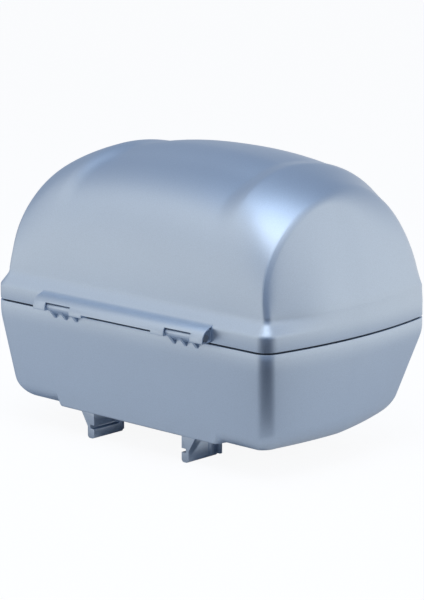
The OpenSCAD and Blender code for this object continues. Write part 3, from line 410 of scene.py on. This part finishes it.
def foot_at(foot, side, inset, share=1.0):
    y = side * outline(*foot, 0)[1]
    step = mix(BAND_STEP, BACK_STEP, ease(-HALF_D, FLARE_GONE, y))
    x, y = outline(*foot, share * step + inset)
    return x, side * y


print("front middle stands at", foot_at(("side", 0), -1, 0), "and the back at", foot_at(("side", 0), 1, 0))

# %% [markdown]
# ## Lid: the vault
# One row of the vault is an arch from the front foot over the crown to the back foot. A low power of the sine gives
# the lobes full shoulders, and a power near one makes the arch rounder towards the end panels. The scoop is a
# shallow dip between the lobes. It is taken off towards the middle of the lid and fades out before the foot.

# %% Lid vault
LID_H, CREST_DROP, CREST_POWER, CROWN_SHIFT = 212.5, 43.5, 2.35, 8.0
LOBE_POWER, PANEL_POWER, PANEL_CENTER = (0.49, 0.362), (0.895, 0.965), 20.0
LOBE_TURN, LOBE_BEND, FOOT_RISE = 130.0, 3, 1.5
SCOOP, SCOOP_CROWN = 13.0, 0.55
SCOOP_FRONT, SCOOP_TOP, SCOOP_BACK = (16, 70), (62, 90), (30, 90)


def panel_share(back, x):
    if back:
        return ease(LOBE_OUT, PANEL_X, x)
    return (max(x - LOBE_TURN, 0) / (PANEL_X - LOBE_TURN)) ** LOBE_BEND


def scoop_share(back, degrees):
    if back:
        return SCOOP_CROWN * ease(*SCOOP_BACK, degrees)
    return ease(*SCOOP_FRONT, degrees) * mix(1, SCOOP_CROWN, ease(*SCOOP_TOP, degrees))


def arch(foot, x, j, t):
    back = int(2 * j > COLUMNS)
    foot_x, foot_y = foot_at(foot, 1 if back else -1, t)
    k = panel_share(back, x)
    power = mix(LOBE_POWER[back], PANEL_POWER[back], k)
    low_z = PANEL_CENTER * k
    height = LID_H - CREST_DROP * (x / PANEL_X) ** CREST_POWER - t - low_z
    start = math.asin(((WALL_Z - low_z) / height) ** (1 / power))
    share = 2 * j / COLUMNS
    a = mix(start, math.pi / 2, 2 - share if back else share)
    y = CROWN_SHIFT + (foot_y - CROWN_SHIFT) * math.cos(a) / math.cos(start)
    z = low_z + height * math.sin(a) ** power
    rise = max((math.sin(a) - math.sin(start)) / (1 - math.sin(start)), 0) ** FOOT_RISE
    dip = SCOOP * (1 - ease(LOBE_IN, LOBE_OUT, x)) * scoop_share(back, math.degrees(a))
    out = Vector((y - CROWN_SHIFT, z - WALL_Z)).normalized() * dip
    return Vector((mix(foot_x, x, rise), y - out.x, z - out.y))


print("crown of the middle row", [round(v, 1) for v in arch(("side", 0), 0, COLUMNS // 2, 0)])

# %% [markdown]
# ## Lid: end panels and creases
# An end panel is spanned between the last arch and the foot of the end, with a slight swell. Between vault and
# panel lies the crease, a curve with three control points. It is crisp at the front, as in the photograph, and
# broad at the back, so its control points slide as the column goes back.

# %% Lid end panels and creases
PANEL_BULGE = 2.5
VAULT_SOFT, PANEL_SOFT = (-7.0, 14.0), (-0.07, 0.24)
SOFT_ZONE, BACK_ZONE = (0.03, 0.25), (0.4, 0.7)


def panel(j, w, t):
    side = -1 if 2 * j < COLUMNS else 1
    x, y = foot_at(column_foot(j), side, t)
    swell = PANEL_BULGE * 4 * w * (1 - w) * math.sin(math.pi * j / COLUMNS)
    crease = arch(("corner", CREASE_FOOT), PANEL_X, j, t)
    return crease.lerp(Vector((x, y, WALL_Z)), w) + Vector((swell, 0, 0))


def lid_point(i, j, t):
    m = abs(i - LAST)
    kind, value = ROWS[m]
    soft = ease(*SOFT_ZONE, min(j, COLUMNS - j) / COLUMNS)
    to_back = ease(*BACK_ZONE, j / COLUMNS)
    vault_less = mix(*VAULT_SOFT, to_back) * soft
    panel_start = PANEL_START + mix(*PANEL_SOFT, to_back) * soft
    if j in (0, COLUMNS):
        x, y = foot_at(edge_foot(i, j), -1 if j == 0 else 1, t)
        p = Vector((x, y, WALL_Z))
    elif kind == "vault":
        past = max(value - LOBE_TO, 0) / (VAULT_END - LOBE_TO)
        p = arch(row_foot(m), value - vault_less * past, j, t)
    elif kind == "crease":
        a = arch(("corner", 1), VAULT_END - vault_less, j, t)
        b = arch(("corner", CREASE_FOOT), PANEL_X, j, t)
        p = a.lerp(b, value).lerp(b.lerp(panel(j, panel_start, t), value), value)
    else:
        p = panel(j, mix(panel_start, 1, (value - PANEL_START) / (1 - PANEL_START)), t)
    return Vector((-p.x if i < LAST else p.x, p.y, p.z + SEAM)) * MM


print("middle of the right panel in metres", [round(v, 4) for v in lid_point(2 * LAST - 5, COLUMNS // 2, 0)])

# %% [markdown]
# ## Lid: flare, band and seal groove
# Below the grid the lid flares out to a band along the seam, and the band's underside has a groove for the rubber
# seal. One list holds the rings from the grid's border down, under and up the inside again. Each entry is the
# share of the flare, the inset and the height.

# %% Lid rim
BAND_H, BAND_T, BAND_RISE, WALL = 17.0, 9.0, 6.0, 3.5
EDGE_SOFT, EDGE_MID = 0.8, 0.25
GROOVE_IN, GROOVE_OUT, GROOVE_D = 3.2, 6.2, 6.0
FLARE_STEPS, FLARE_BEGINS, FLARE_ENDS = 20, (0, 0.45), (0.76, 1)
half_step = 0.5 / FLARE_STEPS
slopes = [ease(*FLARE_BEGINS, u) * (1 - ease(*FLARE_ENDS, u))
          for u in steps(half_step, 1 - half_step, FLARE_STEPS - 1)]
LID_RIM = [(1 - sum(slopes[:n]) / sum(slopes), 0, mix(WALL_Z, BAND_H, n / FLARE_STEPS))
           for n in range(1, FLARE_STEPS + 1)]
LID_RIM += [(0, 0, HALF_GAP + EDGE_SOFT), (0, EDGE_MID, HALF_GAP + EDGE_MID), (0, EDGE_SOFT, HALF_GAP)]
LID_RIM += [(0, GROOVE_IN, HALF_GAP), (0, GROOVE_IN, HALF_GAP + GROOVE_D)]
LID_RIM += [(0, GROOVE_OUT, HALF_GAP + GROOVE_D), (0, GROOVE_OUT, HALF_GAP)]
LID_RIM += [(0, BAND_T - EDGE_SOFT, HALF_GAP), (0, BAND_T, HALF_GAP + EDGE_SOFT)]
LID_RIM += [(0, BAND_T, BAND_H + BAND_RISE), (1, WALL, WALL_Z)]
print("rings from the border to the inside", len(LID_RIM))

# %% [markdown]
# ## Lid: one closed skin
# The grid operator makes the outer skin, each ring is extruded from the border before it, and a second grid set in
# by the wall closes the inside. Two number layers keep each vertex's row and column, because an extrusion copies
# them to its new vertices. Merging the last ring with the inner grid leaves no open edge.

# %% Build the lid
LID_MERGE = 0.00002


def lid_grid(bm, t):
    made = bmesh.ops.create_grid(bm, x_segments=2 * LAST, y_segments=COLUMNS, size=1)
    row, column = bm.verts.layers.int["row"], bm.verts.layers.int["column"]
    for v in made["verts"]:
        v[row] = round((v.co.x + 1) * LAST)
        v[column] = round((v.co.y + 1) * COLUMNS / 2)
        v.co = lid_point(v[row], v[column], t)


def lid_ring(bm, edges, share, inset, z):
    row, column = bm.verts.layers.int["row"], bm.verts.layers.int["column"]
    made = bmesh.ops.extrude_edge_only(bm, edges=edges)["geom"]
    for v in only(made, bmesh.types.BMVert):
        side = -1 if 2 * v[column] < COLUMNS else 1
        x, y = foot_at(edge_foot(v[row], v[column]), side, inset, share)
        v.co = Vector((-x if v[row] < LAST else x, y, z + SEAM)) * MM
    return only(made, bmesh.types.BMEdge)


def make_lid():
    bm = bmesh.new()
    for layer in ("row", "column"):
        bm.verts.layers.int.new(layer)
    lid_grid(bm, 0)
    border = [e for e in bm.edges if e.is_boundary]
    for share, inset, z in LID_RIM:
        border = lid_ring(bm, border, share, inset, z)
    lid_grid(bm, WALL)
    bmesh.ops.remove_doubles(bm, verts=bm.verts, dist=LID_MERGE)
    bmesh.ops.recalc_face_normals(bm, faces=bm.faces)
    print("lid edges left open", sum(e.is_boundary for e in bm.edges))
    return finish_mesh(bm, "lid_skin", silver_paint)


lid = make_lid()
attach(lid, "lid")
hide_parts("lid_shell")

# %% [markdown]
# ## Lower shell: the ring
# The tub starts as one ring of points along the seam, and every extrusion of it is drawn in. It could be a box with
# a bevel, but the front has a straight pedestal between the feet and the back has a recess for the handle. So the
# ring has extra points where those two begin and end.

# %% Ring of the lower shell
PEDESTAL_W, PEDESTAL_SIDE, RECESS_W, RECESS_SIDE = 133.0, 7.0, 92.0, 2.0
BACK_STATIONS = [150, 120, 96] + steps(RECESS_W + RECESS_SIDE, RECESS_W, 4) + [88, 46, 0]
FRONT_STATIONS = [190, 160] + steps(PEDESTAL_W + PEDESTAL_SIDE, PEDESTAL_W, 6) + [125, 66, 0]
END_POINTS, CORNER_POINTS = 16, 12


def quarter(stations):
    points = [("end", f) for f in steps(0, 1, END_POINTS)]
    points += [("corner", f) for f in steps(0, 1, CORNER_POINTS)[1:]]
    return points + [("side", x) for x in stations]


def signed(points, sx, sy):
    return [(kind, f, sx, sy) for kind, f in points]


back_quarter, front_quarter = quarter(BACK_STATIONS), quarter(FRONT_STATIONS)
RING = signed(back_quarter, 1, 1) + signed(back_quarter[-2:0:-1], -1, 1)
RING += signed(front_quarter, -1, -1) + signed(front_quarter[-2:0:-1], 1, -1)
print("points in the ring", len(RING))

# %% [markdown]
# ## Lower shell: taper and recess
# Under the seam runs an upright strip. Below it the walls lean in, the back wall more than the others, and the
# corners pass from one lean to the next. The recess is a stretch of the back wall that steps in at once to the
# depth the taper reaches at its lower edge, so it closes flush there.

# %% Taper and recess
STRIP_H, STRIP_SOFT = 10.0, 16.0
WALL_TAPER, BACK_TAPER, CORNER_SHARE = 0.16, 0.35, 0.7
RECESS_TOP, RECESS_LOW = 15.0, 80.0


def by_side(p, front, end, back):
    kind, f, _, sy = p
    corner = end if sy < 0 else mix(end, back, CORNER_SHARE)
    far = front if sy < 0 else back
    if kind == "side":
        return far
    return mix(corner, far, f) if kind == "corner" else mix(end, corner, f)


def taper_run(depth):
    u = max(depth - STRIP_H, 0)
    return u * u / (2 * STRIP_SOFT) if u < STRIP_SOFT else u - STRIP_SOFT / 2


RECESS_D = BACK_TAPER * taper_run(RECESS_LOW)


def outer_inset(p, depth, t):
    inset = by_side(p, WALL_TAPER, WALL_TAPER, BACK_TAPER) * taper_run(depth)
    if p[0] == "side" and p[3] > 0 and depth > RECESS_TOP - t:
        inside = 1 - ease(RECESS_W + t, RECESS_W + RECESS_SIDE + t, p[1])
        inset = max(inset, RECESS_D * inside)
    return inset


print("recess depth in mm", round(RECESS_D, 2))

# %% [markdown]
# ## Lower shell: levels
# A level says where one ring lies: at the edge with given numbers, on the wall at a depth, or in the turn under the
# floor at an angle. The turn has a wide radius, except at the pedestal, which keeps a nearly square foot.

# %% Levels of the lower shell
FOOT_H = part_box("left_foot")[1].z / MM
BASE_H = SEAM - FOOT_H
BELLY, PEDESTAL_R, TURN_LEAST = (22.0, 30.0, 32.0), 3.0, 1.2
EDGE_T, RECESS_LEDGE, CORNER_KEEP = 8.0, 2.0, 0.9
TURNS = [("turn", math.radians(a)) for a in steps(0, 90, 12)]
OUTER = [("edge", (EDGE_SOFT, HALF_GAP)), ("edge", (EDGE_MID, HALF_GAP + EDGE_MID))]
OUTER += [("edge", (0, HALF_GAP + EDGE_SOFT)), ("edge", (0, STRIP_H))]
OUTER += [("wall", d) for d in (12, 14.2, 15.2, 18, 22, 26, 40, 60, RECESS_LOW)] + TURNS
INNER = [("edge", (EDGE_T, HALF_GAP))]
INNER += [("wall", d) for d in (9.4, 11.6, 18, 22, 26, 40, 60, RECESS_LOW)] + TURNS


def turn_radius(p, t):
    r = by_side(p, *BELLY)
    if p[0] == "side" and p[3] < 0:
        r = mix(PEDESTAL_R, r, ease(PEDESTAL_W - t, PEDESTAL_W + PEDESTAL_SIDE - t, p[1]))
    return max(r - t, TURN_LEAST)


def tub_level(p, level, t):
    kind, value = level
    if kind == "edge":
        return value
    if kind == "wall":
        inset = outer_inset(p, value, t) + t
        return (max(inset, EDGE_T) if t and value < RECESS_TOP - WALL - RECESS_LEDGE else inset), value
    r = turn_radius(p, t)
    depth = BASE_H - t - r + r * math.sin(value)
    return outer_inset(p, depth, t) + t + r * (1 - math.cos(value)), depth


def tub_point(p, level, t):
    inset, depth = tub_level(p, level, t)
    x, y = outline(p[0], p[1], inset, CORNER_KEEP * max(inset - t, 0))
    return Vector((p[2] * x, p[3] * y, SEAM - depth)) * MM


print("lower shell height in mm", round(BASE_H, 2), "in", len(OUTER), "outer and", len(INNER), "inner levels")

# %% [markdown]
# ## Lower shell: one closed skin
# The outer levels are extruded from the first ring, then the inner levels start from the same ring, so the upper
# edge joins both. A number layer tells each vertex its place in the ring. The two floors are filled last.

# %% Build the lower shell
TUB_MERGE = 0.00001


def make_tub():
    bm = bmesh.new()
    index = bm.verts.layers.int.new("index")
    ring = bmesh.ops.create_circle(bm, segments=len(RING), radius=1)["verts"]
    ring.sort(key=lambda v: math.atan2(v.co.y, v.co.x) % (2 * math.pi))
    for k, v in enumerate(ring):
        v[index] = k
    start = list(bm.edges)
    for levels, t in ((OUTER, 0.0), (INNER, WALL)):
        edges = start
        for n, level in enumerate(levels):
            if n or t:
                made = bmesh.ops.extrude_edge_only(bm, edges=edges)["geom"]
                edges = only(made, bmesh.types.BMEdge)
                ring = only(made, bmesh.types.BMVert)
            for v in ring:
                v.co = tub_point(RING[v[index]], level, t)
        bmesh.ops.triangle_fill(bm, use_beauty=True, edges=edges)
    bmesh.ops.remove_doubles(bm, verts=bm.verts, dist=TUB_MERGE)
    bmesh.ops.recalc_face_normals(bm, faces=bm.faces)
    print("lower shell edges left open", sum(e.is_boundary for e in bm.edges))
    return finish_mesh(bm, "lower_skin", silver_paint)


tub = make_tub()
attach(tub, "base")
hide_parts("base_shell")


# %% [markdown]
# ## Hinge: the hood's hollow and the knuckles' gap
# On the case the hinge hood grows out of the lid's flare through a soft hollow. That hollow is a thin curved strip,
# drawn as one face and extruded along the hood. In each window of the hood a knuckle sits behind a dark gap. Its
# barrel is drawn in a little at the top, because the narrow gap of the solids would vanish in the picture.

# %% Hinge details
HOOD_HALF, HOOD_R, HOOD_Z = 146.0, 16.4, 4.0
FILLET_START, FILLET_END, FILLET_CORNER = math.radians(15), (-146.7, 24.0), (-148.77, 21.3)
FILLET_BACK = [(-145.9, 23.6), (-148.2, 20.4), (-150.5, 17.5), (-153.5, 17.0)]
KNUCKLE_SKIN, GAP_RISE, GAP_MORE = (5.0, 6.0), (-2.0, 4.5), 1.4


def hood_fillet(bm):
    start = Vector((-HALF_D - HOOD_R * math.sin(FILLET_START), HOOD_Z + HOOD_R * math.cos(FILLET_START)))
    corner, end = Vector(FILLET_CORNER), Vector(FILLET_END)
    curve = [start.lerp(corner, u).lerp(corner.lerp(end, u), u) for u in steps(0, 1, 10)]
    profile = [tuple(point) for point in curve] + FILLET_BACK
    section = [bm.verts.new(Vector((-HOOD_HALF, y, z + SEAM)) * MM) for y, z in profile]
    made = bmesh.ops.extrude_face_region(bm, geom=[bm.faces.new(section)])["geom"]
    moved = only(made, bmesh.types.BMVert)
    bmesh.ops.translate(bm, verts=moved, vec=Vector((2 * HOOD_HALF, 0, 0)) * MM)
    whole = {f for v in section + moved for f in v.link_faces}
    bmesh.ops.recalc_face_normals(bm, faces=list(whole))
    print("fillet over the hood", len(whole), "faces")


def widen_gap(bm):
    low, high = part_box("hinge_pin")
    axis_y, axis_z = (low.y + high.y) / 2, (low.z + high.z) / 2
    moved = 0
    for v in bm.verts:
        arm = Vector((0, v.co.y - axis_y, v.co.z - axis_z))
        if KNUCKLE_SKIN[0] < arm.length / MM < KNUCKLE_SKIN[1]:
            v.co -= arm.normalized() * GAP_MORE * ease(*GAP_RISE, arm.z / MM) * MM
            moved += 1
    print("points of a knuckle's barrel", moved)


# %% [markdown]
# ## Mouldings and fittings
# The other CAD solids already have the right shape, but every real edge is slightly rounded and catches a line of
# light. Each visible node is copied, its loose triangles are merged and joined, and its sharp edges are bevelled.
# Modelling them again would risk a misfit at the joints. The round wire of the spring has no edge to bevel.

# %% Finished copies
NODE_MERGE, FLAT, SHARP = 0.000002, math.radians(0.5), math.radians(35)
BEVEL_SEGMENTS, SMOOTH_BEVELLED, SMOOTH_ROUND = 2, 50, 75


def softened(node, body, slot, width):
    bm = bmesh.new()
    bm.from_mesh(frame["nodes"][node].data)
    bmesh.ops.remove_doubles(bm, verts=bm.verts, dist=NODE_MERGE)
    bmesh.ops.dissolve_limit(bm, angle_limit=FLAT, verts=bm.verts, edges=bm.edges)
    if node.endswith("hinge_knuckle"):
        widen_gap(bm)
    sharp = [e for e in bm.edges if len(e.link_faces) == 2 and e.calc_face_angle(0) > SHARP]
    if width:
        bmesh.ops.bevel(bm, geom=sharp, offset=width * MM, offset_type="OFFSET", segments=BEVEL_SEGMENTS,
                        profile=0.5, affect="EDGES", clamp_overlap=True, material=-1)
    if node == "hinge_hood":
        hood_fillet(bm)
    smooth_below = SMOOTH_BEVELLED if width else SMOOTH_ROUND
    piece = finish_mesh(bm, node + "_finished", FINISHES[slot], smooth_below)
    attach(piece, body)
    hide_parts(node)
    return piece


EDGE_ROUNDING = {
    "hinge_hood": 0.8, "left_hinge_knuckle": 0.5, "right_hinge_knuckle": 0.5, "left_foot": 0.8, "right_foot": 0.8,
    "handle_plate": 0.8, "carry_handle": 1.0, "lock_sleeve": 0.6, "carrier_block": 1.0, "carrier_cap": 0.8,
    "plunger_knob": 0.8, "rear_buffers": 1.0, "right_lid_catch": 0.5, "left_lid_catch": 0.5, "lock_cover": 0.5,
    "plunger_spring": 0,
}
slot_of = {row["node"]: row["material_slot"] for row in frame["record"]["subparts"]}
body_of = {node: body for body, nodes in frame["record"]["behaviour"]["bodies"].items() for node in nodes}
copies = {node: softened(node, body_of[node], slot_of[node], EDGE_ROUNDING[node])
          for node in frame["nodes"] if node in EDGE_ROUNDING}
print("softened", len(copies), "nodes")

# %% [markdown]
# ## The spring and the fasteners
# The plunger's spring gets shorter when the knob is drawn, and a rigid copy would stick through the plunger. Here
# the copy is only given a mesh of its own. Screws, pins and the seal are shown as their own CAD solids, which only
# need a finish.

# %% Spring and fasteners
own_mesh(copies["plunger_spring"])
plain = [node for node in frame["nodes"] if node not in copies and node not in ("lid_shell", "base_shell")]
for node in plain:
    cad = frame["nodes"][node]
    cad.data.materials.clear()
    cad.data.materials.append(FINISHES[slot_of[node]])
print("shown as they are", len(plain), "nodes")


# %% [markdown]
# ## Floor: masks for painted reflection light and painted shadow
# The case stands on a white ground under large soft lights. Mirror-like paint shows whatever lies around it, so the
# floor gives off a painted light that only its reflection shows, with a brightness that differs from what the
# camera sees. This painted light is darker in front of the near corner and on the far left. It is dim under the
# case, which is a painted shadow of the case, and brighter further out. Each of these is a soft mask made from the
# place on the floor.

# %% Floor masks
NEAR = (math.sin(AZIMUTH), -math.cos(AZIMUTH), 0)
FLAG = (-0.88, 0.46, 0.12)
CORNER_SPOT, NEAR_CONE, NEAR_START = (0.20, -0.11, 0), (0.3, 0.95), (0.07, 0.17)
FLAG_CONE, FLAG_SHADE = (0.80, 0.96), 0.85
# Box under the case, and the levels of the painted shadow inside it and the painted light around it.
SHADOW_BOX_SHIFT, SHADOW_BOX_HALF = (0.105, 0, 0), (0.245, 0.10, 0)
BESIDE, BESIDE_LIGHT, BEYOND, BEYOND_LIGHT, PAINTED_SHADOW_LIGHT = (0.0, 0.05), 0.235, (0.28, 0.80), 0.5, 0.015


def mask_from(tree, value, low, high):
    node = add_node(tree, "ShaderNodeMapRange", {"interpolation_type": "SMOOTHSTEP"})
    tree.links.new(value, node.inputs["Value"])
    node.inputs["From Min"].default_value = low
    node.inputs["From Max"].default_value = high
    return node.outputs[0]


def along(tree, vector, direction):
    return vectors(tree, "DOT_PRODUCT", vector, direction)


floor_material = bpy.data.materials.new("pale floor")
floor_material.use_nodes = True
tree = floor_material.node_tree
place = add_node(tree, "ShaderNodeTexCoord").outputs["Object"]
from_corner = vectors(tree, "SUBTRACT", place, CORNER_SPOT)
heading = vectors(tree, "NORMALIZE", from_corner)
# Painted shade: a dark patch on the floor in front of the near corner, seen in reflections and in bounced light.
painted_near_shade = maths(tree, "MULTIPLY", mask_from(tree, along(tree, heading, NEAR), *NEAR_CONE),
                  mask_from(tree, vectors(tree, "LENGTH", from_corner), *NEAR_START))
# Painted shade: a darker patch at the far left of the floor's painted reflection light.
painted_far_shade = maths(tree, "MULTIPLY", mask_from(tree, along(tree, heading, FLAG), *FLAG_CONE), FLAG_SHADE)
# Painted shadow of the case: the glow that mirror rays see is dim inside a box under the case and brighter further
# out.
reach = place
for operation, constant in (("ADD", SHADOW_BOX_SHIFT), ("ABSOLUTE", None), ("SUBTRACT", SHADOW_BOX_HALF),
                            ("MAXIMUM", (0, 0, 0)), ("LENGTH", None)):
    reach = vectors(tree, operation, reach, constant)
beside = maths(tree, "MULTIPLY", mask_from(tree, reach, *BESIDE), BESIDE_LIGHT)
beyond = maths(tree, "MULTIPLY", mask_from(tree, reach, *BEYOND), BEYOND_LIGHT)
painted_mirror_light = maths(tree, "ADD", maths(tree, "ADD", beside, beyond), PAINTED_SHADOW_LIGHT)
for shade in (painted_near_shade, painted_far_shade):
    painted_mirror_light = maths(tree, "MULTIPLY", painted_mirror_light, without(tree, shade))
print("floor mask nodes", len(tree.nodes))

# %% [markdown]
# ## Floor: what each ray sees
# A Light Path node tells which kind of ray has arrived. The camera sees a matt floor mixed with white light, which
# keeps the case's faint shadow. A mirror ray sees a warmer painted light, as strong as the masks allow, so the
# paint shows a painted reflection with a painted shadow under the case. All other rays meet the matt floor, whose
# colour is painted dark in front of the near corner, so it lights the case from below.

# %% Floor
FLOOR_SIZE, FLOOR_ROUGHNESS, FLOOR_SPECULAR = 12, 0.9, 0.1
PALE, PAINTED_SHADE_COLOUR, GLOW_WARM, WHITE = (0.78, 0.78, 0.78), (0.10, 0.10, 0.11), (1, 0.96, 0.885), (1, 1, 1)
GLOW_STRENGTH, SEEN_GLOW = 1.15, 0.8
matt = tree.nodes["Principled BSDF"]
matt.inputs["Roughness"].default_value = FLOOR_ROUGHNESS
matt.inputs["Specular IOR Level"].default_value = FLOOR_SPECULAR
ray = add_node(tree, "ShaderNodeLightPath").outputs
# Painted shade: the floor's colour turns dark in front of the near corner for every ray but the camera's.
darker = maths(tree, "MULTIPLY", painted_near_shade, without(tree, ray["Is Camera Ray"]))
tree.links.new(two_colours(tree, darker, PALE, PAINTED_SHADE_COLOUR).outputs["Result"], matt.inputs["Base Color"])
glow = add_node(tree, "ShaderNodeEmission", Strength=GLOW_STRENGTH)
warm = two_colours(tree, ray["Is Camera Ray"], GLOW_WARM, WHITE)
tree.links.new(warm.outputs["Result"], glow.inputs["Color"])
mirrored = maths(tree, "MAXIMUM", ray["Is Glossy Ray"], ray["Is Transmission Ray"])
# The floor glows for mirror rays with the painted light of the masks, which is painted reflection, not a lamp.
mirrored = maths(tree, "MULTIPLY", mirrored, painted_mirror_light)
direct = maths(tree, "MULTIPLY", ray["Is Camera Ray"], SEEN_GLOW)
blend = add_node(tree, "ShaderNodeMixShader")
tree.links.new(maths(tree, "MAXIMUM", direct, mirrored), blend.inputs[0])
tree.links.new(matt.outputs[0], blend.inputs[1])
tree.links.new(glow.outputs[0], blend.inputs[2])
tree.links.new(blend.outputs[0], tree.nodes["Material Output"].inputs[0])
floor_bm = bmesh.new()
bmesh.ops.create_grid(floor_bm, x_segments=2, y_segments=2, size=FLOOR_SIZE)
floor = finish_mesh(floor_bm, "floor", floor_material)
print("floor reaches", FLOOR_SIZE, "m each way")

# %% [markdown]
# ## Studio around the case
# In a photograph of shiny paint, the room counts as much as the lamps. This one is a white sweep low at the sides
# and a darker, bluish ceiling that comes lower at the back. A dark side behind the camera gives the dark band along
# the near corner, and a dark flag at the far left keeps a streak off the near lobe's flank. Only mirror rays see
# this sweep, and the camera itself sees plain white.

# %% Studio
LEAN_Y, LEAN_X, CEILING, BEHIND_CAMERA = 0.6, -0.25, (0.55, 1.16), (0.25, 0.88)
STUDIO_FLAG, SWEEP_LIGHT, FLAG_DROP = (0.88, 0.98), 0.91, 0.82
LEFT, LEFT_CONE, LEFT_DROP = (-1, 0, 0), (0.55, 1.0), 0.5
DOME, SWEEP_WARM, SEEN_WHITE = (0.235, 0.295, 0.40), (1, 0.98, 0.945), (1, 0.99, 0.98)
world = bpy.data.worlds.new("studio")
bpy.context.scene.world = world
world.use_nodes = True
tree = world.node_tree
ray = add_node(tree, "ShaderNodeLightPath").outputs
place = add_node(tree, "ShaderNodeTexCoord").outputs["Generated"]
tilted = along(tree, place, (LEAN_X, LEAN_Y, 1))
low_part = without(tree, mask_from(tree, tilted, *CEILING))
far_part = without(tree, mask_from(tree, along(tree, place, NEAR), *BEHIND_CAMERA))
flagged = maths(tree, "MULTIPLY", mask_from(tree, along(tree, place, FLAG), *STUDIO_FLAG), FLAG_DROP)
to_left = maths(tree, "MULTIPLY", mask_from(tree, along(tree, place, LEFT), *LEFT_CONE), LEFT_DROP)
unflagged = maths(tree, "MULTIPLY", maths(tree, "SUBTRACT", SWEEP_LIGHT, flagged), without(tree, to_left))
sweep = maths(tree, "MULTIPLY", maths(tree, "MULTIPLY", low_part, far_part), unflagged)
shiny = maths(tree, "MULTIPLY", ray["Is Glossy Ray"], sweep)
clear = maths(tree, "MAXIMUM", ray["Is Camera Ray"], ray["Is Transmission Ray"])
dome = tree.nodes["Background"]
dome.inputs["Color"].default_value = (*DOME, 1)
white = add_node(tree, "ShaderNodeBackground", Strength=1.0)
warm = two_colours(tree, ray["Is Camera Ray"], SWEEP_WARM, SEEN_WHITE)
tree.links.new(warm.outputs["Result"], white.inputs["Color"])
choose = add_node(tree, "ShaderNodeMixShader")
tree.links.new(maths(tree, "MAXIMUM", clear, shiny), choose.inputs[0])
tree.links.new(dome.outputs[0], choose.inputs[1])
tree.links.new(white.outputs[0], choose.inputs[2])
tree.links.new(choose.outputs[0], tree.nodes["World Output"].inputs[0])
print("studio nodes", len(tree.nodes))

# %% [markdown]
# ## Lamps
# Two softboxes give the highlights: one in front, which lights the near lobe, and a bluish one almost overhead for
# the crest. Area lamps were chosen because a point lamp would leave a hard spot on the paint. The brightness is
# given per area, so a lamp can change its size and keep its look.

# %% Softboxes
LAMP_DISTANCE, LAMP_AIM = 2.2, Vector((0, 0, 0.17))


def softbox(name, azimuth, elevation, size, radiance, colour):
    a, e = math.radians(azimuth), math.radians(elevation)
    direction = Vector((math.sin(a) * math.cos(e), -math.cos(a) * math.cos(e), math.sin(e)))
    lamp = bpy.data.objects.new(name, bpy.data.lights.new(name, "AREA"))
    lamp.data.shape = "RECTANGLE"
    lamp.data.size, lamp.data.size_y = size
    lamp.data.energy = radiance * math.pi * size[0] * size[1]
    lamp.data.color = colour
    lamp.location = direction * LAMP_DISTANCE + LAMP_AIM
    lamp.rotation_euler = direction.to_track_quat("Z", "Y").to_euler()
    bpy.context.scene.collection.objects.link(lamp)
    print(name, "gives", round(lamp.data.energy, 2), "W")


softbox("front softbox", 45, 60, (1.3, 0.9), 1.1, (1.0, 1.0, 1.0))
softbox("top softbox", 43, 80, (1.4, 1.4), 1.15, (0.8, 0.95, 1.15))

# %% [markdown]
# ## Last update
# The view layer is brought up to date once more at the end.

# %% Last update
bpy.context.view_layer.update()
